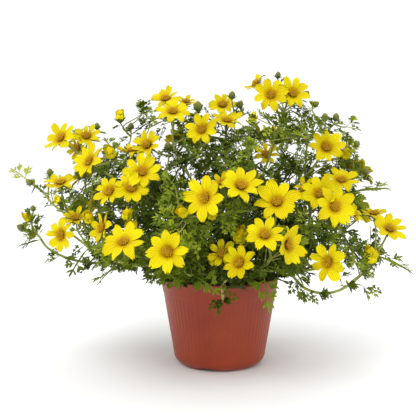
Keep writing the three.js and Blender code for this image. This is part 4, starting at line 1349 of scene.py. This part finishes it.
def grow_twig(aim, anchors):
    """A twig from the best place on the shoots to its aim, or None if none is clear of the blooms."""
    spots, ways, runs, owners = anchors
    distance = np.linalg.norm(aim - spots, axis=1)
    turn = 1 - np.einsum("ij,ij->i", (aim - spots) / distance[:, None], ways)
    too_short, too_long = np.maximum(0, TWIG_LENGTHS[0] - distance), np.maximum(0, distance - TWIG_LENGTHS[1])
    cost = distance + 0.25 * runs + 22 * turn + 3 * too_short + 2 * too_long
    best = int(cost.argmin())
    spot, way, long = spots[best], ways[best], distance[best]
    aside = unit(np.cross(aim - spot, UP))
    for sway, lift in ((0, 0.05), (0.18, 0.1), (-0.18, 0.1), (0.3, -0.05), (-0.3, -0.05)):
        bow = aside * sway * long + UP * lift * long
        points = [spot, spot + way * long * 0.28 + bow * 0.5, mix((spot, aim), 0.66) + bow, aim]
        path = on_curve(points, np.linspace(0, 1, 13))
        if clear_of_heads(path[2:], before=10, widen=0.9) and clear_of_pot(path[2:]):
            return SimpleNamespace(stem=owners[best], path=path)
    return None


def anchors_of(stems):
    """Places on the shoots where twigs may leave them: points, ways, runs from the soil, and stems."""
    spots, ways, runs, owners = [], [], [], []
    for stem in stems:
        for shoot in stem.shoots:
            path = shoot.fine[0]
            reach = 0.85 if shoot.head.kind == "tip" else 0.7
            for share in np.arange(0.1, reach, 0.04):
                i = int(share * (len(path) - 1))
                if path[i][2] < POT_HEIGHT - 4:
                    continue
                spots.append(path[i])
                ways.append(unit(path[i + 1] - path[i]))
                runs.append(shoot.start + share * shoot.span)
                owners.append(stem)
    return np.array(spots), np.array(ways), np.array(runs), owners


# How far a large leaf is rolled about its rib to either side, in radians
LEAF_ROLL = (0.2, 0.6)


def grow_foliage():
    """The large leaves that the solids have, the leaves of their shoots, and then the twigs between them."""
    for stem in STEMS:
        stem.leaves, stem.twigs = [], []
        for slot in leaf_slots(stem):
            leaf = solid_leaf(stem, slot)
            if leaf:
                rng = np.random.default_rng(slot.key)
                roll = rng.choice([-1, 1]) * rng.uniform(*LEAF_ROLL)
                leaf.flat, leaf.top = spun(leaf.flat, leaf.way, roll), spun(leaf.top, leaf.way, roll)
                # Painted shade: the tone darkens leaves deeper inside the plant's dome.
                tone = leaf_tone_and_shade(leaf.at, rng)
                stem.leaves.append(SimpleNamespace(
                    **vars(leaf), variant=slot.key % VARIANTS, bend=-UP, fold=-0.1, tone=tone,
                ))
        for shoot in stem.shoots:
            dress_shoot(stem, shoot)
    rng = np.random.default_rng(TWIG_SEED)
    anchors = anchors_of(STEMS)
    aims = twig_aims(rng)
    for _ in range(TWIGS):
        twig = grow_twig(next(aims), anchors)
        if twig is None:
            continue
        twig.stem.twigs.append(twig)
        add_pairs(twig.stem, twig.path, TWIG_SPACING, 0.25, 0.97, (27, 16), rng, tufts=0.12)
        add_tip(twig.stem, twig.path[-1], unit(twig.path[-1] - twig.path[-3]), rng)


# Pieces
def fine_stem(stem, materials):
    shape = Shape()
    for shoot in stem.shoots:
        centres, radii = shoot.fine
        add_tube(shape, centres, radii, 8 if shoot.penalty == 0 else 6, LOOKS_STEM, draw(shoot.head.key, 21))
        if shoot.head.kind == "bloom":
            add_cup(shape, shoot.head)
        elif shoot.head.kind != "tip":
            add_bud(shape, shoot.head)
    for k, twig in enumerate(stem.twigs):
        radii = np.linspace(*TWIG_RADIUS, len(twig.path))
        add_tube(shape, twig.path, radii, 5, LOOKS_STEM, draw(k, 22))
    add_leaves(shape, stem.leaves)
    make_piece("fine_stem_" + stem.name, shape, materials, ["leafy_stem_" + stem.name])


def fine_blooms(node, heads, materials):
    shape = Shape()
    for head in heads:
        axes = head_axes(head)
        rim = PETAL_THICKNESS + max(DISC_RADIUS * p.middle[1] / p.middle[0] for p in head.petals)
        for k, petal in enumerate(head.petals):
            petal.root = np.array([DISC_RADIUS * 0.72, 0.9])
            add_petal(shape, head.at, axes, petal, head.key * 100 + k, LOOKS_BLOOM_PETAL)
        add_disc(shape, head.at + head.face * SEAT, axes, rim, head.key + DISC_SEED, LOOKS_BLOOM_DISC)
    make_piece("fine_" + node, shape, materials, [node], crease=62)


SOIL_RINGS, SOIL_SPOKES = 34, 120
SOIL_WAVES = 26
SOIL_SEED = 5
CRUMBS = 900
CRUMB_SIZE = (0.5, 1.7)


def icosahedron():
    """The corners and faces of an icosahedron of radius 1."""
    g = (1 + math.sqrt(5)) / 2
    corners = np.array([
        (-1, g, 0), (1, g, 0), (-1, -g, 0), (1, -g, 0), (0, -1, g), (0, 1, g), (0, -1, -g), (0, 1, -g),
        (g, 0, -1), (g, 0, 1), (-g, 0, -1), (-g, 0, 1),
    ])
    faces = [
        (0, 11, 5), (0, 5, 1), (0, 1, 7), (0, 7, 10), (0, 10, 11), (1, 5, 9), (5, 11, 4), (11, 10, 2),
        (10, 7, 6), (7, 1, 8), (3, 9, 4), (3, 4, 2), (3, 2, 6), (3, 6, 8), (3, 8, 9), (4, 9, 5), (2, 4, 11),
        (6, 2, 10), (8, 6, 7), (9, 8, 1),
    ]
    return corners / np.linalg.norm(corners[0]), np.array(faces)


def fine_soil(material):
    """Crumbly soil: an uneven top that fills the pot, with loose crumbs on it."""
    rng = np.random.default_rng(SOIL_SEED)
    shape = Shape()
    edge = wall_radius(SOIL_TOP) - WALL - CLEAR
    bumps = [
        (rng.uniform(0.1, 0.9, 2) * rng.choice([-1, 1], 2), rng.uniform(0, 6.3), rng.uniform(0.1, 0.4))
        for _ in range(SOIL_WAVES)
    ]

    def top(x, y):
        out = np.hypot(x, y)
        height = SOIL_TOP + SOIL_CROWN * (1 - (out / edge) ** 2)
        for wave, phase, size in bumps:
            height = height + size * np.sin(wave[0] * x + wave[1] * y + phase) * 0.55
        return height - 1.2 * (out / edge) ** 8

    rings = np.linspace(0, 1, SOIL_RINGS + 1)[1:] * edge
    angles = np.arange(SOIL_SPOKES) * 2 * math.pi / SOIL_SPOKES
    rows = []
    floor = FLOOR[1] + CLEAR
    heel = HEEL_RADIUS - 4
    for out, height in ((heel - 6, floor), (heel, floor + 5)):
        rows.append(np.stack([out * np.cos(angles), out * np.sin(angles), np.full_like(angles, height)], 1))
    for out in rings[::-1]:
        x, y = out * np.cos(angles), out * np.sin(angles)
        rows.append(np.stack([x, y, top(x, y)], 1))
    add_rings(shape, rows, [0, 0, floor], [0, 0, float(top(0.0, 0.0))], 0, 0.4, np.full(len(rows), 0.5))
    corners, crumb_faces = icosahedron()
    for _ in range(CRUMBS):
        out, angle = (edge - 2) * math.sqrt(rng.uniform()), rng.uniform(0, 2 * math.pi)
        x, y = out * math.cos(angle), out * math.sin(angle)
        size = rng.uniform(*CRUMB_SIZE) * rng.uniform(0.6, 1)
        lump = corners * rng.uniform(0.7, 1.3, (12, 1)) * size * rng.uniform(0.6, 1.2, 3)
        shape.add(lump + [x, y, float(top(x, y)) + size * 0.25], crumb_faces, 0, rng.uniform(0, 1))
    make_piece("fine_soil", shape, [material], ["soil"], crease=35)


def arch_floor(points):
    """How high the arched gaps of the foot lift the underside at each point, or -1 outside them."""
    round_radius = (ARCH_WIDTH**2 / 4 + ARCH_HEIGHT**2) / (2 * ARCH_HEIGHT)
    lift = np.full(len(points), -1.0)
    for i in range(ARCHES):
        turn = math.radians(ARCH_TURN + 360 / ARCHES * i)
        along = points[:, 0] * math.cos(turn) + points[:, 1] * math.sin(turn)
        aside = -points[:, 0] * math.sin(turn) + points[:, 1] * math.cos(turn)
        inside = (along > FOOT_RING[0] - 4) & (np.abs(aside) < ARCH_WIDTH / 2)
        height = ARCH_HEIGHT - round_radius + np.sqrt(np.maximum(0, round_radius**2 - aside**2))
        lift = np.where(inside, np.maximum(lift, height), lift)
    return lift


FLUTE_STEPS = 6
# The heights between which the flutes fade in, run and fade out
FLUTED = (13, 16, 71, 73.4)


def fine_pot(material):
    """The pot with its fine flutes, rolled rim, arched foot and drain holes."""
    heel_middle = HEEL_RADIUS - HEEL_ROUND

    def arc(radius, low, high, steps):
        angles = np.radians(np.linspace(low, high, steps + 1))
        return [(heel_middle + radius * math.cos(a), HEEL_ROUND + radius * math.sin(a)) for a in angles]

    band = POT_HEIGHT - RIM_BAND
    wall_rows = [(wall_radius(z), z) for z in (13, 13.8, 15, 17, 25, 35, 45, 55, 65, 71, 72.6, 73.4, 74.2)]
    foot, lip = 0.5, 0.6
    outside = [
        (MIDDLE_FOOT_RADIUS - foot, 0), (MIDDLE_FOOT_RADIUS, foot),
        (MIDDLE_FOOT_RADIUS + 0.7, FLOOR[0] - 0.6),
        *((out, FLOOR[0]) for out in (MIDDLE_FOOT_RADIUS + 1.4, 20, 28.2, FOOT_RING[0] - 1.5)),
        (FOOT_RING[0] - 0.8, FLOOR[0] - 0.7), (FOOT_RING[0] - 0.3, 0.5), (FOOT_RING[0] + 0.2, 0),
        (34, 0), (FOOT_RING[1], 0), *arc(HEEL_ROUND, -74, 0, 12), *wall_rows,
        (wall_radius(band) + RIM_STEP * 0.55, band - 0.3), (wall_radius(band) + RIM_STEP, band + 0.3),
        (wall_radius(band + 6) + RIM_STEP * 0.7, band + 6), (RIM_RADIUS - 0.15, POT_HEIGHT - 3),
        (RIM_RADIUS, POT_HEIGHT - lip), (RIM_RADIUS - 0.25, POT_HEIGHT - 0.15),
        (RIM_RADIUS - 0.7, POT_HEIGHT),
        (RIM_RADIUS - 1.2, POT_HEIGHT - 0.15), (wall_radius(POT_HEIGHT) - WALL, POT_HEIGHT - 0.8),
        *((wall_radius(z) - WALL, z) for z in (60, 30)), *arc(HEEL_ROUND - WALL, 0, -60, 6),
        *((out, FLOOR[1]) for out in (30, 20, 8)),
    ]
    columns = FINE_FLUTES * FLUTE_STEPS
    angles = np.arange(columns) * 2 * math.pi / columns
    rings = []
    for radius, z in outside:
        on_wall = radius > wall_radius(z) - 0.5 and z >= FLUTED[0]
        fade = np.interp(z, FLUTED, [0, 1, 1, 0]) if on_wall else 0
        out = radius - fade * FINE_FLUTE_DEPTH * np.sin(FINE_FLUTES / 2 * angles) ** 2
        rings.append(np.stack([out * np.cos(angles), out * np.sin(angles), np.full(columns, z, float)], 1))
    for ring in rings[:outside.index(wall_rows[0]) + 1]:
        ring[:, 2] = np.maximum(ring[:, 2], np.maximum(arch_floor(ring), 0))
    shape = Shape()
    add_rings(shape, rings, [0, 0, 0], [0, 0, FLOOR[1]], 0, 0.5, np.full(len(rings), 0.5))
    piece = make_piece("fine_pot", shape, [material], ["pot"], crease=32)
    drill(piece)
    return piece


def drill(piece):
    """Cuts the drain holes through the pot's floor."""
    cutter_shape = Shape()
    axes = (ACROSS, np.array([0.0, 1.0, 0.0]), UP)
    for i in range(DRAIN_HOLES):
        at = about(360 / DRAIN_HOLES * (i + 0.5), DRAIN_RING, 0)
        profile = [(FLOOR[0] - 2, DRAIN_RADIUS), (FLOOR[1] + 2, DRAIN_RADIUS)]
        add_revolved(cutter_shape, at, axes, profile, 32)
    mesh = bpy.data.meshes.new("drill")
    points, faces = np.concatenate(cutter_shape.points) * METRES, np.concatenate(cutter_shape.faces)
    mesh.from_pydata(points.tolist(), [], faces.tolist())
    cutter = bpy.data.objects.new("drill", mesh)
    bpy.context.scene.collection.objects.link(cutter)
    cut = piece.modifiers.new("drain holes", "BOOLEAN")
    cut.operation, cut.solver, cut.object = "DIFFERENCE", "EXACT", cutter
    bpy.context.view_layer.update()
    solved = piece.evaluated_get(bpy.context.evaluated_depsgraph_get())
    piece.data = bpy.data.meshes.new_from_object(solved)
    piece.modifiers.clear()
    bpy.data.objects.remove(cutter)


# Materials
class Nodes:
    """A material and short calls that add nodes to it."""

    def __init__(self, name, roughness, specular=0.5):
        self.material = bpy.data.materials.new(name)
        self.material.use_nodes = True
        self.tree = self.material.node_tree
        self.shader = self.tree.nodes["Principled BSDF"]
        self.shader.inputs["Roughness"].default_value = roughness
        self.shader.inputs["Specular IOR Level"].default_value = specular

    def link(self, output, socket):
        self.tree.links.new(output, socket)

    def noise(self, scale, detail=4.0):
        """Noise fixed to the part, with so many waves to the millimetre."""
        place = self.tree.nodes.new("ShaderNodeTexCoord")
        mapping = self.tree.nodes.new("ShaderNodeMapping")
        mapping.inputs["Scale"].default_value = [scale / METRES] * 3
        self.link(place.outputs["Object"], mapping.inputs["Vector"])
        noise = self.tree.nodes.new("ShaderNodeTexNoise")
        noise.inputs["Scale"].default_value = 1.0
        noise.inputs["Detail"].default_value = detail
        self.link(mapping.outputs["Vector"], noise.inputs["Vector"])
        return noise.outputs["Fac"]

    def value(self, name):
        node = self.tree.nodes.new("ShaderNodeAttribute")
        node.attribute_name = name
        return node.outputs["Fac"]

    def ramp(self, factor, stops):
        node = self.tree.nodes.new("ShaderNodeValToRGB")
        elements = node.color_ramp.elements
        for place, _ in stops[2:]:
            elements.new(place)
        for element, (place, _) in zip(elements, stops):
            element.position = place
        for element, (_, colour) in zip(elements, stops):
            element.color = (*colour, 1)
        self.link(factor, node.inputs["Fac"])
        return node.outputs["Color"]

    def multiply(self, first, second, factor=1.0):
        """One colour darkened by another, as far as factor says."""
        node = self.tree.nodes.new("ShaderNodeMix")
        node.data_type, node.blend_type = "RGBA", "MULTIPLY"
        sockets = {socket.identifier: socket for socket in (*node.inputs, *node.outputs)}
        sockets["Factor_Float"].default_value = factor
        self.link(first, sockets["A_Color"])
        self.link(second, sockets["B_Color"])
        return sockets["Result_Color"]

    def maths(self, operation, *values):
        node = self.tree.nodes.new("ShaderNodeMath")
        node.operation = operation
        for socket, value in zip(node.inputs, values):
            if isinstance(value, bpy.types.NodeSocket):
                self.link(value, socket)
            else:
                socket.default_value = value
        return node.outputs["Value"]

    def bump(self, height, distance, strength=1.0):
        node = self.tree.nodes.new("ShaderNodeBump")
        node.inputs["Strength"].default_value = strength
        node.inputs["Distance"].default_value = distance * METRES
        self.link(height, node.inputs["Height"])
        self.link(node.outputs["Normal"], self.shader.inputs["Normal"])

    def colour(self, output):
        self.link(output, self.shader.inputs["Base Color"])
        return self.material


PETAL_VEINS = 21.0


def petal_material():
    """Yellow, golden at the root and paler towards the tip, with fine veins along it: bumped, and darkened in
    stripes as painted shade in their grooves.
    """
    nodes = Nodes("petal_yellow", 0.6, 0.1)
    along, aside = nodes.value("along"), nodes.value("aside")
    base = nodes.ramp(along, [
        (0.0, (0.40, 0.20, 0.001)), (0.14, (0.65, 0.45, 0.001)), (0.3, (0.75, 0.65, 0.001)),
        (1.0, (0.78, 0.71, 0.002)),
    ])
    tone = nodes.ramp(nodes.value("tone"), [(0.0, (0.87, 0.81, 0.7)), (1.0, (1, 1, 1))])
    toned = nodes.multiply(base, tone)
    # Painted shade: stripes darkened along the vein grooves across the petal.
    veins = nodes.maths("SINE", nodes.maths("MULTIPLY", aside, PETAL_VEINS))
    depth = nodes.maths("MULTIPLY_ADD", veins, 0.5, 0.5)
    painted_groove_shade = nodes.ramp(depth, [(0.0, (0.70, 0.56, 0.3)), (0.45, (1, 1, 1))])
    nodes.bump(veins, 0.14, 0.8)
    return nodes.colour(nodes.multiply(toned, painted_groove_shade, 0.85))


def disc_material():
    """Golden, darker and browner low down between the florets."""
    nodes = Nodes("disc_brown", 0.65, 0.3)
    base = nodes.ramp(nodes.value("along"), [
        (0.0, (0.22, 0.095, 0.002)), (0.35, (0.50, 0.27, 0.003)), (0.62, (0.62, 0.38, 0.003)),
        (1.0, (0.78, 0.58, 0.004)),
    ])
    tone = nodes.ramp(nodes.value("tone"), [(0.0, (0.72, 0.62, 0.5)), (1.0, (1.1, 1.06, 1.0))])
    return nodes.colour(nodes.multiply(base, tone))


def leaf_material():
    """Green, from dark to fresh by leaf, the leaves deep inside the plant darkened as painted shade, with
    mottling.
    """
    nodes = Nodes("leaf_green", 0.6, 0.15)
    base = nodes.ramp(nodes.value("tone"), [
        (0.0, (0.018, 0.032, 0.002)), (0.5, (0.10, 0.148, 0.006)), (0.8, (0.21, 0.27, 0.012)),
        (1.0, (0.34, 0.39, 0.03)),
    ])
    mottle = nodes.ramp(nodes.noise(0.35), [(0.3, (0.72, 0.75, 0.7)), (0.7, (1.15, 1.12, 1.0))])
    nodes.bump(nodes.noise(1.6, 3.0), 0.12, 0.5)
    return nodes.colour(nodes.multiply(base, mottle))


def stem_material():
    nodes = Nodes("stem_green", 0.5, 0.2)
    base = nodes.ramp(nodes.value("tone"), [
        (0.0, (0.15, 0.20, 0.03)), (0.5, (0.27, 0.32, 0.06)), (1.0, (0.40, 0.43, 0.12)),
    ])
    mottle = nodes.ramp(nodes.noise(0.12, 3.0), [(0.35, (0.75, 0.72, 0.62)), (0.65, (1.1, 1.1, 1.05))])
    nodes.bump(nodes.noise(0.9, 3.0), 0.1, 0.4)
    return nodes.colour(nodes.multiply(base, mottle))


def bud_material():
    """Green bracts, turning to yellow and brown towards a bud's tip."""
    nodes = Nodes("bud_green", 0.5, 0.4)
    base = nodes.ramp(nodes.value("along"), [
        (0.0, (0.07, 0.10, 0.012)), (0.3, (0.10, 0.14, 0.018)), (0.55, (0.12, 0.14, 0.016)),
        (0.75, (0.24, 0.19, 0.015)),
    ])
    tone = nodes.ramp(nodes.value("tone"), [(0.0, (0.7, 0.72, 0.7)), (1.0, (1.15, 1.1, 1.0))])
    return nodes.colour(nodes.multiply(base, tone))


def soil_material():
    nodes = Nodes("soil_dark", 0.95, 0.2)
    base = nodes.ramp(nodes.value("tone"), [
        (0.0, (0.010, 0.006, 0.004)), (0.7, (0.032, 0.019, 0.011)), (0.96, (0.06, 0.036, 0.02)),
        (0.985, (0.45, 0.42, 0.37)),
    ])
    mottle = nodes.ramp(nodes.noise(0.5, 5.0), [(0.3, (0.55, 0.5, 0.5)), (0.7, (1.3, 1.25, 1.2))])
    nodes.bump(nodes.noise(1.2, 6.0), 0.5, 0.9)
    return nodes.colour(nodes.multiply(base, mottle))


def pot_material():
    """Moulded terracotta plastic, a little uneven in colour and gloss."""
    nodes = Nodes("pot_terracotta", 0.42, 0.35)
    cloud = nodes.ramp(nodes.noise(0.02, 3.0), [(0.3, (0.24, 0.027, 0.006)), (0.7, (0.31, 0.040, 0.009))])
    speck = nodes.ramp(nodes.noise(0.6, 4.0), [(0.3, (0.94, 0.93, 0.92)), (0.7, (1.04, 1.04, 1.04))])
    gloss = nodes.maths("MULTIPLY_ADD", nodes.noise(0.08, 4.0), 0.16, 0.34)
    nodes.link(gloss, nodes.shader.inputs["Roughness"])
    nodes.bump(nodes.noise(0.9, 4.0), 0.05, 0.35)
    return nodes.colour(nodes.multiply(cloud, speck))


# The part
for stem in STEMS:
    for shoot in stem.shoots:
        per_span = 5 if shoot.penalty == 0 else 4
        shoot.fine = smooth_path([c for c, _ in shoot.rings], [r for _, r in shoot.rings], per_span)
grow_foliage()
STEM_LOOKS = [stem_material(), leaf_material(), bud_material(), petal_material()]
for stem in STEMS:
    fine_stem(stem, STEM_LOOKS)
BLOOM_LOOKS = [STEM_LOOKS[LOOKS_PETAL], disc_material()]
for node in BLOOM_NODES:
    fine_blooms(node, [bloom for bloom in BLOOMS if bloom.node == node], BLOOM_LOOKS)
fine_soil(soil_material())
fine_pot(pot_material())


# Floor, light and camera
def plain_material(name, colour, roughness):
    material = bpy.data.materials.new(name)
    material.use_nodes = True
    shader = material.node_tree.nodes["Principled BSDF"]
    shader.inputs["Base Color"].default_value = (*colour, 1)
    shader.inputs["Roughness"].default_value = roughness
    return material


# The round floor is in metres, and wide enough that no horizon shows.
FLOOR_RADIUS = 40
FLOOR_SIDES = 64


def make_floor():
    mesh = bpy.data.meshes.new("floor")
    angles = np.arange(FLOOR_SIDES) * 2 * math.pi / FLOOR_SIDES
    edge = [(FLOOR_RADIUS * math.cos(a), FLOOR_RADIUS * math.sin(a), 0) for a in angles]
    mesh.from_pydata(edge, [], [list(range(FLOOR_SIDES))])
    mesh.materials.append(plain_material("pale_floor", (0.9, 0.9, 0.9), 0.9))
    floor = bpy.data.objects.new("floor", mesh)
    bpy.context.scene.collection.objects.link(floor)


def add_area_light(name, place, aim, size, power):
    light = bpy.data.lights.new(name, "AREA")
    light.shape, light.size, light.energy = "DISK", size, power
    lamp = bpy.data.objects.new(name, light)
    bpy.context.scene.collection.objects.link(lamp)
    lamp.location = place
    way = np.array(aim) - np.array(place)
    lamp.rotation_euler = (math.acos(-way[2] / np.linalg.norm(way)), 0, math.atan2(way[0], -way[1]) + math.pi)


MIDDLE = (0, 0, 0.15)
make_floor()
add_area_light("key", (-0.5, -1.5, 1.8), MIDDLE, 1.4, 24)
add_area_light("rear", (0.5, 1.5, 1.4), MIDDLE, 1.2, 9)

world = bpy.data.worlds.new("studio")
world.use_nodes = True
world.node_tree.nodes["Background"].inputs["Color"].default_value = (1, 1, 1, 1)
world.node_tree.nodes["Background"].inputs["Strength"].default_value = 1.12
bpy.context.scene.world = world
bpy.context.scene.view_settings.view_transform = "Standard"

SENSOR = 36
camera_data = bpy.data.cameras.new("camera")
camera_data.sensor_width = SENSOR
camera_data.lens = EYE_FOCUS * SENSOR / PICTURE
camera = bpy.data.objects.new("camera", camera_data)
camera.location = EYE * METRES
camera.rotation_euler = (math.pi / 2 - EYE_DOWN, 0, 0)
bpy.context.scene.collection.objects.link(camera)
bpy.context.scene.camera = camera
